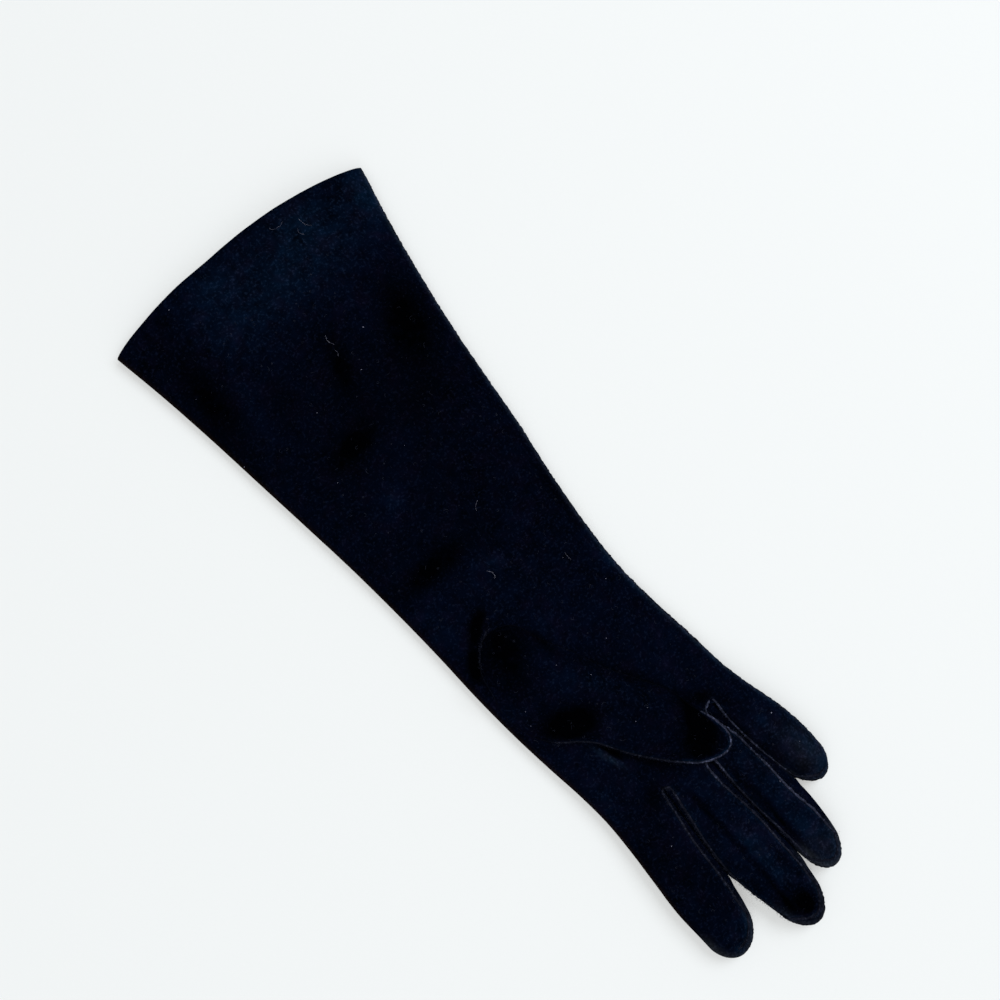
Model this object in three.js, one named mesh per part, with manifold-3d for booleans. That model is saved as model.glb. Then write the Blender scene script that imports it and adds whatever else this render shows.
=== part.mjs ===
// A long evening glove for the right hand, in soft napped cloth. It lies palm up on a flat surface with
// its thumb folded over the palm. Sizes are in millimetres. +Z is up, +Y runs from the cuff to the
// fingertips, and +X is the index finger's side. The origin is under the middle of the glove.
import * as THREE from "three";
import { mergeVertices } from "three/addons/utils/BufferGeometryUtils.js";
import Module from "manifold-3d";

const wasm = await Module();
wasm.setup();

// The cloth's thickness, and the clearance between two pieces that are sewn together.
const CLOTH = 1.0;
const GAP = 0.3;
// A hollow is narrower than its outside by this much more than the cloth, because its edges are folds.
const SLEEVE_FOLD = 0.6;
const FINGER_FOLD = 0.3;
// How round a section's upper side is: 2 and 0.5 would make it an ellipse.
const CROWN_POWER = 3.2;
const CROWN_ROUND = 0.58;
// The underside is flat up to this distance from its folded edges, where it curls up.
const CURL = 3.2;
// No section closes to less than this share of its size, so that each end keeps a small blunt face.
const BLUNT = 0.22;
// Places of the extra rings over a rounded end, as shares of its length.
const END_SHARES = [0.03, 0.14, 0.35, 0.65];
// Points round a ring are spread over a flat section by this much evenly, and otherwise by their angle.
const EVEN_SPREAD = 0.6;
// A point this close to the middle height of a ring of points counts as being on its edge.
const ON_EDGE = 1e-4;
// Points nearer to each other than this are one point, and shares nearer than this are equal.
const SAME_POINT = 1e-4;
const SAME_SHARE = 1e-6;
// How many facets go round and along each form, in threes round it: two of three are on its upper side.
const TUBE_FACETS = { around: 24, hollowAround: 24, along: 20 };
const FINGER_FACETS = { around: 15, hollowAround: 12, along: 6 };
const WEB_FACETS_ALONG = 3;
const THUMB_FACETS = { around: 15, hollowAround: 15, along: 8 };
const UPPER_SHARE = 2 / 3;
// The cloth's colour, near black with a blue tinge, and how matt it is.
const COLOUR = 0x0a0e19;
const MATT = 0.96;

// The sleeve, wrist and palm are one flattened tube. A row is a cross section at y: the two edges of the
// outline, the height of the upper cloth over the table and the height of the folded edges.
const TUBE = [
  { y: 0, left: -64.3, right: 64.6, height: 12.8, edge: 2.9 },
  { y: 25, left: -58.3, right: 60.4, height: 12.0, edge: 2.7 },
  { y: 50, left: -53.3, right: 57.0, height: 11.5, edge: 2.6 },
  { y: 75, left: -49.2, right: 54.1, height: 11.5, edge: 2.6 },
  { y: 100, left: -46.0, right: 51.2, height: 11.7, edge: 2.6 },
  { y: 125, left: -43.2, right: 48.4, height: 11.3, edge: 2.6 },
  { y: 150, left: -39.4, right: 46.3, height: 10.8, edge: 2.6 },
  { y: 175, left: -36.6, right: 44.8, height: 10.2, edge: 2.8 },
  { y: 200, left: -35.6, right: 43.9, height: 9.5, edge: 2.9 },
  { y: 220, left: -37.2, right: 42.5, height: 9.0, edge: 3.0 },
  { y: 240, left: -39.6, right: 40.3, height: 8.8, edge: 3.2 },
  { y: 253, left: -40.9, right: 38.6, height: 8.8, edge: 3.4 },
  { y: 264, left: -40.4, right: 36.4, height: 8.7, edge: 3.5 },
];
const CUFF = TUBE[0].y;
const KNUCKLES = TUBE[TUBE.length - 1].y;
// The cuff's cut edge bows out in its middle, and the bow fades out up the sleeve.
const CUFF_BOW = 6.5;
const CUFF_BOW_REACH = 50;
const KNUCKLES_ROUND = 4;
// A hollow stops short of its outside's rounded end by this many thicknesses of the cloth, and the
// sleeve's hollow runs out past the cuff, so that the cuff is open.
const END_CLOTH = 1.2;
const MOUTH_PAST = 2;
const FIRST_STEP = 6;

// Soft folds and swells of the upper cloth of the sleeve and the palm. A row is one of them: its
// middle, the direction it runs in as degrees from +X, half its length and width, and its rise.
const SLEEVE_FOLDS = [
  { x: -20, y: 24, turn: 80, reach: 34, width: 17, rise: 1.8 },
  { x: 14, y: 6, turn: 95, reach: 26, width: 10, rise: -1.3 },
  { x: 42, y: 30, turn: 100, reach: 24, width: 11, rise: -2.2 },
  { x: -34, y: 60, turn: 105, reach: 24, width: 9, rise: -2.2 },
  { x: 18, y: 86, turn: 60, reach: 26, width: 9, rise: -2.2 },
  { x: -14, y: 112, turn: 35, reach: 26, width: 9, rise: 1.3 },
  { x: 26, y: 147, turn: 2, reach: 20, width: 7, rise: -2.4 },
  { x: 4, y: 166, turn: 150, reach: 26, width: 8, rise: 1.3 },
  { x: -22, y: 196, turn: 95, reach: 26, width: 8, rise: 1.1 },
];

// The fingers. A row is a cross section, as in TUBE, and the last row is at the fingertip, which is
// rounded off over the length `round`.
const FINGERS = {
  index: {
    round: 11,
    rows: [
      { y: 240, left: 17.0, right: 32.0, height: 5.6, edge: 3.2 },
      { y: 256, left: 11.6, right: 38.0, height: 8.7, edge: 3.4 },
      { y: 270, left: 11.5, right: 37.1, height: 8.9, edge: 3.6 },
      { y: 285, left: 12.1, right: 37.4, height: 9.6, edge: 3.9 },
      { y: 300, left: 13.4, right: 38.4, height: 10.5, edge: 4.2 },
      { y: 316, left: 14.0, right: 39.4, height: 10.6, edge: 4.2 },
      { y: 330, left: 15.8, right: 38.8, height: 10.0, edge: 4.1 },
      { y: 345.4, left: 19.2, right: 38.2, height: 8.8, edge: 3.9 },
    ],
  },
  middle: {
    round: 12,
    rows: [
      { y: 240, left: -7.0, right: 7.0, height: 6.0, edge: 3.2 },
      { y: 256, left: -10.0, right: 10.0, height: 8.6, edge: 3.4 },
      { y: 270, left: -10.4, right: 10.8, height: 8.8, edge: 3.6 },
      { y: 285, left: -10.8, right: 11.5, height: 9.3, edge: 3.9 },
      { y: 300, left: -11.4, right: 12.9, height: 10.5, edge: 4.2 },
      { y: 318, left: -12.5, right: 13.5, height: 10.8, edge: 4.3 },
      { y: 336, left: -13.3, right: 10.4, height: 10.2, edge: 4.1 },
      { y: 357.2, left: -12.4, right: 5.4, height: 8.8, edge: 3.9 },
    ],
  },
  ring: {
    round: 10,
    rows: [
      { y: 240, left: -24.0, right: -13.5, height: 5.6, edge: 3.2 },
      { y: 256, left: -26.6, right: -10.6, height: 8.6, edge: 3.4 },
      { y: 270, left: -27.6, right: -10.9, height: 8.8, edge: 3.6 },
      { y: 283, left: -28.8, right: -11.2, height: 9.0, edge: 3.8 },
      { y: 298, left: -31.0, right: -11.9, height: 10.1, edge: 4.1 },
      { y: 316, left: -33.3, right: -12.9, height: 10.2, edge: 4.1 },
      { y: 330, left: -32.4, right: -13.6, height: 9.8, edge: 4.1 },
      { y: 345.9, left: -30.6, right: -14.6, height: 8.6, edge: 3.9 },
    ],
  },
  little: {
    round: 9,
    rows: [
      { y: 234, left: -33.5, right: -26.5, height: 5.0, edge: 3.0 },
      { y: 252, left: -40.2, right: -27.0, height: 8.3, edge: 3.4 },
      { y: 268, left: -43.8, right: -27.9, height: 8.9, edge: 3.6 },
      { y: 284, left: -48.2, right: -29.4, height: 9.4, edge: 3.9 },
      { y: 302, left: -50.8, right: -32.0, height: 9.6, edge: 3.9 },
      { y: 317.4, left: -50.2, right: -34.2, height: 8.4, edge: 3.7 },
    ],
  },
};

// The web of cloth between two fingers, from the palm out to the fork: a short soft form of its own.
// Its edge lies no nearer than edgeUnder to its upper cloth, where it starts low inside the palm.
const WEB = { back: 26, half: 7.5, height: 8.7, lowHeight: 5.0, edge: 3.5, edgeUnder: 1.5, round: 4 };
// A finger's hollow keeps its full wall until the fingertip has closed to 1 / TIP_WALL.
const TIP_WALL = 1.6;

// The thumb, from its root at the thumb hole to its tip. A row is a cross section: its middle, the
// direction of its width as degrees from +X, half its width, the height of its upper cloth over the
// table, and that of its folded edges over its underside.
const THUMB = [
  { x: 26.5, y: 179.5, turn: 12, half: 11.0, height: 13.6, edge: 1.1 },
  { x: 25.5, y: 193.0, turn: 18, half: 13.6, height: 15.8, edge: 1.3 },
  { x: 24.6, y: 206.5, turn: 24, half: 17.4, height: 17.0, edge: 1.4 },
  { x: 19.8, y: 219.5, turn: 32, half: 19.4, height: 17.5, edge: 1.8 },
  { x: 10.0, y: 232.5, turn: 36, half: 15.8, height: 17.5, edge: 2.4 },
  { x: 1.0, y: 245.5, turn: 39, half: 14.6, height: 17.4, edge: 2.7 },
  { x: -7.0, y: 257.5, turn: 44, half: 13.6, height: 17.2, edge: 2.8 },
  { x: -14.5, y: 267.0, turn: 52, half: 11.8, height: 16.8, edge: 2.8 },
  { x: -23.0, y: 274.5, turn: 60, half: 10.0, height: 16.0, edge: 2.8 },
];
const THUMB_ROOT_ROUND = 0.9;
const THUMB_TIP_ROUND = 1.1;
const THUMB_FOLDS = [
  { x: 20, y: 231, turn: 30, reach: 7, width: 6, rise: -1.8 },
  { x: 17, y: 206, turn: 110, reach: 16, width: 6, rise: -0.8 },
  { x: -8, y: 250, turn: 125, reach: 18, width: 6, rise: 0.6 },
];
// The thumb lies this far over the palm.
const THUMB_CLEAR = 0.45;
const THUMB_END = THUMB.length - 1;
// Its hollow starts and ends short of its outside by these shares of a row for each millimetre of cloth.
const THUMB_ROOT_STEP = 0.09;
const THUMB_TIP_STEP = 0.11;

// The hole under the thumb's root, where its hollow joins the palm's.
const THUMB_HOLE = { x: 22.5, y: 206, halfWidth: 10.5, halfLength: 18, low: 3.0, high: 12.0, sides: 20 };

// Seams stand up as thin welts along the sleeve's edge on the little finger's side and along the thumb.
// WELT is a welt's radius, and its middle lies WELT_IN inside the edge that it runs along.
const WELT = 0.8;
const WELT_IN = 0.3;
const WELT_SIDES = 6;
const WELT_UPPER_SHARE = 0.5;
const SIDE_SEAM_SHORT = 8;
const SIDE_SEAM_BLEND = [254, 264];
const SIDE_SEAM_STEPS = 24;
// The thumb's seam runs between these rows of THUMB: out along one edge, and a little way back.
const THUMB_SEAM = { from: 3.4, backTo: 7.0, outPoints: 7, backPoints: 2, short: 0.02, steps: 18 };
const UP = new THREE.Vector3(0, 0, 1);

// A fourchette takes the side of a finger between the two heights of its seams, measured as shares of
// the way from the folded edge to the upper and the under cloth. Its room reaches FORK_OUT past the
// finger's outline and FORK_IN inside it, and WEB_DEPTH to either side of the fork.
const SEAM_HIGH = 0.55;
const SEAM_LOW = 0.6;
const FORK_OUT = 0.2;
const FORK_OUT_AT_WEB = 1.2;
const FORK_IN = 3.4;
const WEB_DEPTH = 2.6;
// It narrows to its point over these shares of the fingertip's rounded length.
const FORK_TIP = 0.35;
const FORK_FULL = 1.6;
const FORK_POINT = 0.3;
const FORK_FIRST_STEP = 1;
// The slot between two fingers starts at y, and the cloths of two fingers part half way between them.
const FORKS = [
  { name: "fourchette_index_middle", left: "middle", right: "index", y: 278 },
  { name: "fourchette_middle_ring", left: "ring", right: "middle", y: 279 },
  { name: "fourchette_ring_little", left: "little", right: "ring", y: 265 },
];

// The one cloth of the sleeve, the hand and the fingers is divided where nothing is sewn: at the wrist,
// and just past the forks, so that the forks and the roots of the fingers belong to the hand.
const WRIST_Y = 168;
const FINGER_STARTS = { index: 281, middle: 281, ring: 281, little: 268 };
// A finger's own room reaches past the glove by this much, and has this many steps along it.
const ROOM_PAST = 5;
const ROOM_STEPS = 6;

// A table's columns as smooth functions of its first column, or of a row's number.
function smoothColumns(rows, along) {
  const stops = rows.map((row, index) => (along ? row[along] : index));
  const names = Object.keys(rows[0]);
  const values = rows.flatMap((row) => names.map((name) => row[name]));
  const curve = new THREE.CubicInterpolant(stops, values, names.length);
  return (at) => {
    const found = curve.evaluate(THREE.MathUtils.clamp(at, stops[0], stops[stops.length - 1]));
    return Object.fromEntries(names.map((name, index) => [name, found[index]]));
  };
}

const tubeAt = smoothColumns(TUBE, "y");
const thumbAt = smoothColumns(THUMB, null);
const fingerAt = {};
for (const [name, finger] of Object.entries(FINGERS)) {
  fingerAt[name] = smoothColumns(finger.rows, "y");
}

// Stops along a form from first to last: even ones, and closer ones over each rounded end.
function stopsAlong(first, last, count, roundFirst, roundLast) {
  const stops = [];
  if (roundFirst > 0) {
    END_SHARES.forEach((share) => stops.push(first + roundFirst * share));
  }
  const from = first + roundFirst;
  const to = last - roundLast;
  for (let step = 0; step <= count; step += 1) {
    stops.push(from + ((to - from) * step) / count);
  }
  if (roundLast > 0) {
    [...END_SHARES].reverse().forEach((share) => stops.push(last - roundLast * share));
  }
  return stops;
}

// How far a rounded end is open at a distance from it: 1 is fully open.
function closing(distance, round) {
  const share = THREE.MathUtils.clamp(distance / round, 0, 1);
  return Math.max(BLUNT, Math.sqrt(1 - (1 - share) ** 2));
}

// How much the folds and swells of a table raise the cloth at a point.
function rise(folds, x, y) {
  let sum = 0;
  for (const fold of folds) {
    const turn = THREE.MathUtils.degToRad(fold.turn);
    const along = (x - fold.x) * Math.cos(turn) + (y - fold.y) * Math.sin(turn);
    const across = (y - fold.y) * Math.cos(turn) - (x - fold.x) * Math.sin(turn);
    sum += fold.rise * Math.exp(-((along / fold.reach) ** 2) - (across / fold.width) ** 2);
  }
  return sum;
}

// The upper side's share of its full height at a share of the half width.
function crown(share) {
  return (1 - Math.min(1, Math.abs(share)) ** CROWN_POWER) ** CROWN_ROUND;
}

// The underside's share of the edge's height: 0 where it lies flat.
function curl(share, half) {
  const reach = Math.min(CURL, half);
  return (Math.max(0, Math.abs(share) * half - (half - reach)) / reach) ** 2;
}

// Points round a circle, moved so that they are spread over a flat section.
function spread(across) {
  const even = Math.asin(THREE.MathUtils.clamp(across, -1, 1)) / (Math.PI / 2);
  return THREE.MathUtils.lerp(across, even, EVEN_SPREAD);
}

// A soft closed form: a cylinder whose rings of points are placed at the stops along the form. place is
// told how far across and up a point is on a round ring, from -1 to 1, and its stop.
function softForm(sides, stops, place, upperShare = UPPER_SHARE) {
  const shape = new THREE.CylinderGeometry(1, 1, 1, sides, stops.length - 1, false, Math.PI / 2);
  const points = shape.getAttribute("position");
  for (let index = 0; index < points.count; index += 1) {
    const at = stops[Math.round((points.getY(index) + 0.5) * (stops.length - 1))];
    const offset = Math.hypot(points.getX(index), points.getZ(index)) < 0.5 ? 0 : 1;
    const turn = (Math.atan2(points.getZ(index), points.getX(index)) / (2 * Math.PI) + 1 + SAME_SHARE) % 1;
    const isUpper = turn < upperShare + SAME_SHARE * 2;
    const onUpper = (Math.PI * turn) / upperShare;
    const onUnder = Math.PI * (1 + (turn - upperShare) / (1 - upperShare));
    const angle = isUpper ? onUpper : onUnder;
    const point = place(offset * Math.cos(angle), offset * Math.sin(angle), at);
    points.setXYZ(index, point.x, point.y, point.z);
  }
  return solidOf(shape);
}

function solidOf(shape) {
  shape.deleteAttribute("normal");
  shape.deleteAttribute("uv");
  const merged = mergeVertices(shape, SAME_POINT);
  return new wasm.Manifold(
    new wasm.Mesh({
      numProp: 3,
      vertProperties: new Float32Array(merged.getAttribute("position").array),
      triVerts: new Uint32Array(merged.getIndex().array),
    }),
  );
}

function joined(solids) {
  return solids.reduce((sum, solid) => sum.add(solid));
}

// A section's height at a share of its half width: on its upper side where up is above 0, on its
// underside where up is below 0, and otherwise at its folded edge.
function sectionHeight(row, share, half, up, inset, open) {
  if (up > ON_EDGE) {
    return row.edge + (row.height - inset - row.edge) * crown(share) * open;
  }
  if (up < -ON_EDGE) {
    return row.edge - (row.edge - inset) * (1 - curl(share, half)) * open;
  }
  return row.edge;
}

// The sleeve, wrist and palm. inset is 0 for the outside and the cloth's thickness for the hollow.
function tubeForm(inset) {
  const hollow = inset > 0;
  const end = KNUCKLES - inset * END_CLOTH;
  const start = hollow ? CUFF - MOUTH_PAST : CUFF;
  const stops = [start, ...stopsAlong(CUFF + FIRST_STEP, end, TUBE_FACETS.along, 0, KNUCKLES_ROUND)];
  const around = hollow ? TUBE_FACETS.hollowAround : TUBE_FACETS.around;
  return softForm(around, stops, (across, up, at) => {
    const row = tubeAt(at);
    const half = (row.right - row.left) / 2 - inset - (hollow ? SLEEVE_FOLD : 0);
    const share = spread(across);
    const x = (row.left + row.right) / 2 + share * half;
    const open = closing(end - at, KNUCKLES_ROUND);
    const folded = up > ON_EDGE ? rise(SLEEVE_FOLDS, x, at) * crown(share) * open : 0;
    const z = sectionHeight(row, share, half, up, inset, open) + folded;
    const bow = 1 - THREE.MathUtils.smoothstep(at, CUFF, CUFF + CUFF_BOW_REACH);
    return new THREE.Vector3(x, at - CUFF_BOW * (1 - share ** 2) * bow, z);
  });
}

// The height of the palm's upper cloth at a point under the thumb.
function palmTop(x, y) {
  const row = tubeAt(y);
  const half = (row.right - row.left) / 2;
  const share = (x - (row.left + row.right) / 2) / half;
  return sectionHeight(row, share, half, 1, 0, 1) + rise(SLEEVE_FOLDS, x, y) * crown(share);
}

function fingerStops(name, inset) {
  const { rows, round } = FINGERS[name];
  const end = rows[rows.length - 1].y - inset * END_CLOTH;
  return stopsAlong(rows[0].y, end, FINGER_FACETS.along, 0, round);
}

function fingerForm(name, inset) {
  const { rows, round } = FINGERS[name];
  const hollow = inset > 0;
  const end = rows[rows.length - 1].y - inset * END_CLOTH;
  const around = hollow ? FINGER_FACETS.hollowAround : FINGER_FACETS.around;
  return softForm(around, fingerStops(name, inset), (across, up, at) => {
    const row = fingerAt[name](at);
    const open = closing(end - at, round);
    const trim = hollow ? (inset + FINGER_FOLD) * Math.min(1, open * TIP_WALL) : 0;
    const half = ((row.right - row.left) / 2) * open - trim;
    const share = spread(across);
    const x = (row.left + row.right) / 2 + share * half;
    return new THREE.Vector3(x, at, sectionHeight(row, share, half, up, inset, open));
  });
}

function webForm(fork, inset) {
  const hollow = inset > 0;
  const end = fork.y - inset * END_CLOTH;
  const around = hollow ? FINGER_FACETS.hollowAround : FINGER_FACETS.around;
  const start = fork.y - WEB.back;
  return softForm(around, stopsAlong(start, end, WEB_FACETS_ALONG, 0, WEB.round), (across, up, at) => {
    const middle = (fingerAt[fork.left](at).right + fingerAt[fork.right](at).left) / 2;
    const height = THREE.MathUtils.mapLinear(at, start, end - WEB.round, WEB.lowHeight, WEB.height);
    const row = { height: Math.min(WEB.height, height), edge: Math.min(WEB.edge, height - WEB.edgeUnder) };
    const half = WEB.half - (hollow ? inset + FINGER_FOLD : 0);
    const share = spread(across);
    const open = closing(end - at, WEB.round);
    return new THREE.Vector3(middle + share * half, at, sectionHeight(row, share, half, up, inset, open));
  });
}

// The thumb's section at a row's number: its middle, its width's direction and how far it is open.
function thumbSection(at, inset) {
  const row = thumbAt(at);
  const turn = THREE.MathUtils.degToRad(row.turn);
  const open = Math.min(closing(at, THUMB_ROOT_ROUND), closing(THUMB_END - at, THUMB_TIP_ROUND));
  const half = row.half * open - (inset > 0 ? inset + FINGER_FOLD : 0);
  return { row, open, half, wideX: Math.cos(turn), wideY: Math.sin(turn) };
}

function thumbForm(inset) {
  const first = inset * THUMB_ROOT_STEP;
  const last = THUMB_END - inset * THUMB_TIP_STEP;
  const stops = stopsAlong(first, last, THUMB_FACETS.along, THUMB_ROOT_ROUND, THUMB_TIP_ROUND);
  const around = inset > 0 ? THUMB_FACETS.hollowAround : THUMB_FACETS.around;
  return softForm(around, stops, (across, up, at) => {
    const { row, open, half, wideX, wideY } = thumbSection(at, inset);
    const share = spread(across);
    const x = row.x + share * half * wideX;
    const y = row.y + share * half * wideY;
    const under = palmTop(x, y) + THUMB_CLEAR;
    const section = { height: row.height - under, edge: row.edge };
    const folded = up > ON_EDGE ? rise(THUMB_FOLDS, x, y) * crown(share) * open : 0;
    return new THREE.Vector3(x, y, under + sectionHeight(section, share, half, up, inset, open) + folded);
  });
}

// A thin round welt along a run of points.
function welt(points, steps) {
  const run = new THREE.CatmullRomCurve3(points);
  const stops = stopsAlong(0, 1, steps, 0, 0);
  const place = (across, up, at) => {
    const aside = run.getTangentAt(at).cross(UP).normalize();
    return run.getPointAt(at).addScaledVector(aside, across * WELT).addScaledVector(UP, up * WELT);
  };
  return softForm(WELT_SIDES, stops, place, WELT_UPPER_SHARE);
}

// The side seam, along the folded edge of the sleeve and the little finger.
function sideSeam() {
  const { rows, round } = FINGERS.little;
  const tip = rows[rows.length - 1].y;
  const points = stopsAlong(CUFF, tip - SIDE_SEAM_SHORT, SIDE_SEAM_STEPS, 0, 0).map((at) => {
    const palm = tubeAt(at);
    const little = fingerAt.little(at);
    const half = ((little.right - little.left) / 2) * closing(tip - at, round);
    const onFinger = THREE.MathUtils.smoothstep(at, ...SIDE_SEAM_BLEND);
    const x = THREE.MathUtils.lerp(palm.left, (little.left + little.right) / 2 - half, onFinger);
    return new THREE.Vector3(x + WELT_IN, at, THREE.MathUtils.lerp(palm.edge, little.edge, onFinger));
  });
  return welt(points, SIDE_SEAM_STEPS);
}

// The thumb's seam, along its edge nearer the fingers, round the tip and a little way back.
function thumbSeam() {
  const last = THUMB_END - THUMB_SEAM.short;
  const edgePoint = (at, side) => {
    const { row, half, wideX, wideY } = thumbSection(at, 0);
    const x = row.x + side * (half - WELT_IN) * wideX;
    const y = row.y + side * (half - WELT_IN) * wideY;
    return new THREE.Vector3(x, y, palmTop(x, y) + THUMB_CLEAR + row.edge);
  };
  const outStops = stopsAlong(THUMB_SEAM.from, last, THUMB_SEAM.outPoints, 0, THUMB_TIP_ROUND);
  const backStops = stopsAlong(THUMB_SEAM.backTo, last, THUMB_SEAM.backPoints, 0, 0).reverse();
  const out = outStops.map((at) => edgePoint(at, 1));
  const back = backStops.map((at) => edgePoint(at, -1));
  return welt([...out, ...back], THUMB_SEAM.steps);
}

// The opening from the palm into the thumb.
function holeForm() {
  const { x, y, halfWidth, halfLength, low, high, sides } = THUMB_HOLE;
  const hole = new THREE.CylinderGeometry(1, 1, high - low, sides);
  hole.rotateX(Math.PI / 2);
  hole.scale(halfWidth, halfLength, 1);
  hole.translate(x, y, (low + high) / 2);
  return solidOf(hole);
}

// The place of one side of a finger: the outline's edge at y, and the heights of the two seams there.
function fingerSide(name, side, y) {
  const { rows, round } = FINGERS[name];
  const row = fingerAt[name](y);
  const tip = rows[rows.length - 1].y;
  const open = closing(tip - y, round);
  const half = ((row.right - row.left) / 2) * open;
  const narrow = THREE.MathUtils.smoothstep(tip - y, round * FORK_TIP, round * FORK_FULL);
  const spreadOfSeams = THREE.MathUtils.lerp(FORK_POINT, 1, narrow) * open;
  return {
    x: (row.left + row.right) / 2 + side * half,
    high: row.edge + (row.height - row.edge) * SEAM_HIGH * spreadOfSeams,
    low: row.edge - row.edge * SEAM_LOW * spreadOfSeams,
  };
}

// The room of one arm of a fourchette, along a finger's side from the web to near the tip.
function armRoom(name, side, from, grow) {
  const { round } = FINGERS[name];
  const stops = fingerStops(name, 0);
  const tip = stops[stops.length - 1];
  const fits = (y) => y > from + FORK_FIRST_STEP && tip - y > round * FORK_TIP - SAME_SHARE;
  const along = [from, ...stops.filter(fits)];
  const arm = new THREE.BoxGeometry(1, 1, 1, 1, along.length - 1, 1);
  const points = arm.getAttribute("position");
  for (let index = 0; index < points.count; index += 1) {
    const step = Math.round((points.getY(index) + 0.5) * (along.length - 1));
    const edge = fingerSide(name, side, along[step]);
    const isOuter = Math.sign(points.getX(index)) === side;
    const past = step === 0 ? FORK_OUT_AT_WEB : FORK_OUT;
    const x = isOuter ? edge.x + side * past : edge.x - side * (FORK_IN + grow);
    const y = step === along.length - 1 ? along[step] + grow : along[step];
    const z = points.getZ(index) > 0 ? edge.high + grow : edge.low - grow;
    points.setXYZ(index, x, y, z);
  }
  return solidOf(arm);
}

// The room that a fourchette takes up: a block at the web, and an arm along each of the two fingers.
function forkRoom(fork, grow) {
  const from = fork.y - WEB_DEPTH - grow;
  const left = fingerSide(fork.left, 1, fork.y);
  const right = fingerSide(fork.right, -1, fork.y);
  const block = new THREE.BoxGeometry(
    right.x - left.x + 2 * (FORK_IN + grow),
    2 * (WEB_DEPTH + grow),
    (left.high + right.high - left.low - right.low) / 2 + 2 * grow,
  );
  block.translate((left.x + right.x) / 2, fork.y, (left.high + right.high + left.low + right.low) / 4);
  return joined([armRoom(fork.left, 1, from, grow), armRoom(fork.right, -1, from, grow), solidOf(block)]);
}

// The room around one finger, between the lines half way to its neighbours.
function fingerRoom(name, from) {
  const order = Object.keys(FINGERS);
  const place = order.indexOf(name);
  const middleLine = (first, second, y) => (fingerAt[first](y).left + fingerAt[second](y).right) / 2;
  const to = FINGERS.middle.rows[FINGERS.middle.rows.length - 1].y + ROOM_PAST;
  const room = new THREE.BoxGeometry(1, 1, 1, 1, ROOM_STEPS, 1);
  const points = room.getAttribute("position");
  for (let index = 0; index < points.count; index += 1) {
    const y = THREE.MathUtils.lerp(from, to, points.getY(index) + 0.5);
    const isRight = points.getX(index) > 0;
    const edge = isRight ? TUBE[0].right + ROOM_PAST : TUBE[0].left - ROOM_PAST;
    const neighbour = order[place + (isRight ? -1 : 1)];
    const line = neighbour && (isRight ? middleLine(neighbour, name, y) : middleLine(name, neighbour, y));
    const z = points.getZ(index) > 0 ? TUBE[0].height + ROOM_PAST : -ROOM_PAST;
    points.setXYZ(index, neighbour ? line : edge, y, z);
  }
  return solidOf(room);
}

// The part of a solid before or past a place along the glove.
function before(solid, y) {
  return solid.trimByPlane([0, -1, 0], -y);
}

function past(solid, y) {
  return solid.trimByPlane([0, 1, 0], y);
}

function cloth() {
  return new THREE.MeshStandardMaterial({ color: COLOUR, roughness: MATT, metalness: 0 });
}

// A named piece of the glove with a cloth of its own.
function piece(name, solid) {
  const { vertProperties, triVerts } = solid.getMesh();
  const shape = new THREE.BufferGeometry();
  shape.setAttribute("position", new THREE.BufferAttribute(new Float32Array(vertProperties), 3));
  shape.setIndex(new THREE.BufferAttribute(new Uint32Array(triVerts), 1));
  shape.computeVertexNormals();
  const mesh = new THREE.Mesh(shape, cloth());
  mesh.name = name;
  return mesh;
}

const names = Object.keys(FINGERS);
const handForms = (inset) => [
  tubeForm(inset),
  ...names.map((name) => fingerForm(name, inset)),
  ...FORKS.map((fork) => webForm(fork, inset)),
];
const handOutside = joined([...handForms(0), sideSeam()]);
const handHollow = joined(handForms(CLOTH));
const hand = handOutside.subtract(handHollow);
const thumbCloth = thumbForm(0).add(thumbSeam()).subtract(thumbForm(CLOTH));
const hole = holeForm();

const glove = new THREE.Group();
glove.name = "glove";
const trank = FORKS.reduce((rest, fork) => rest.subtract(forkRoom(fork, GAP)), hand).subtract(hole);
const palm = names.reduce((rest, name) => rest.subtract(fingerRoom(name, FINGER_STARTS[name])), trank);
glove.add(piece("sleeve", before(trank, WRIST_Y - GAP / 2)));
glove.add(piece("hand", past(palm, WRIST_Y + GAP / 2)));
names.forEach((name) => {
  glove.add(piece(`${name}_finger`, trank.intersect(fingerRoom(name, FINGER_STARTS[name] + GAP))));
});
glove.add(piece("thumb", thumbCloth.subtract(hole)));
FORKS.forEach((fork) => glove.add(piece(fork.name, hand.intersect(forkRoom(fork, 0)))));

const box = new THREE.Box3().setFromObject(glove);
const middle = box.getCenter(new THREE.Vector3());
glove.position.set(-middle.x, -middle.y, -box.min.z);

export default glove;
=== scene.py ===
# %% [markdown]
# # A long dress glove of napped cloth
# This lesson dresses a long right-hand glove that lies palm up, its thumb folded over the palm. The
# imported model gives the place and size of every part. The cloth, its seams and its finish are made
# here. We load that model first.

# %% Load the frame
import math
import random

import bmesh
import bpy
from mathutils import Matrix, Vector, noise
from mathutils.bvhtree import BVHTree
from mathutils.kdtree import KDTree


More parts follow.
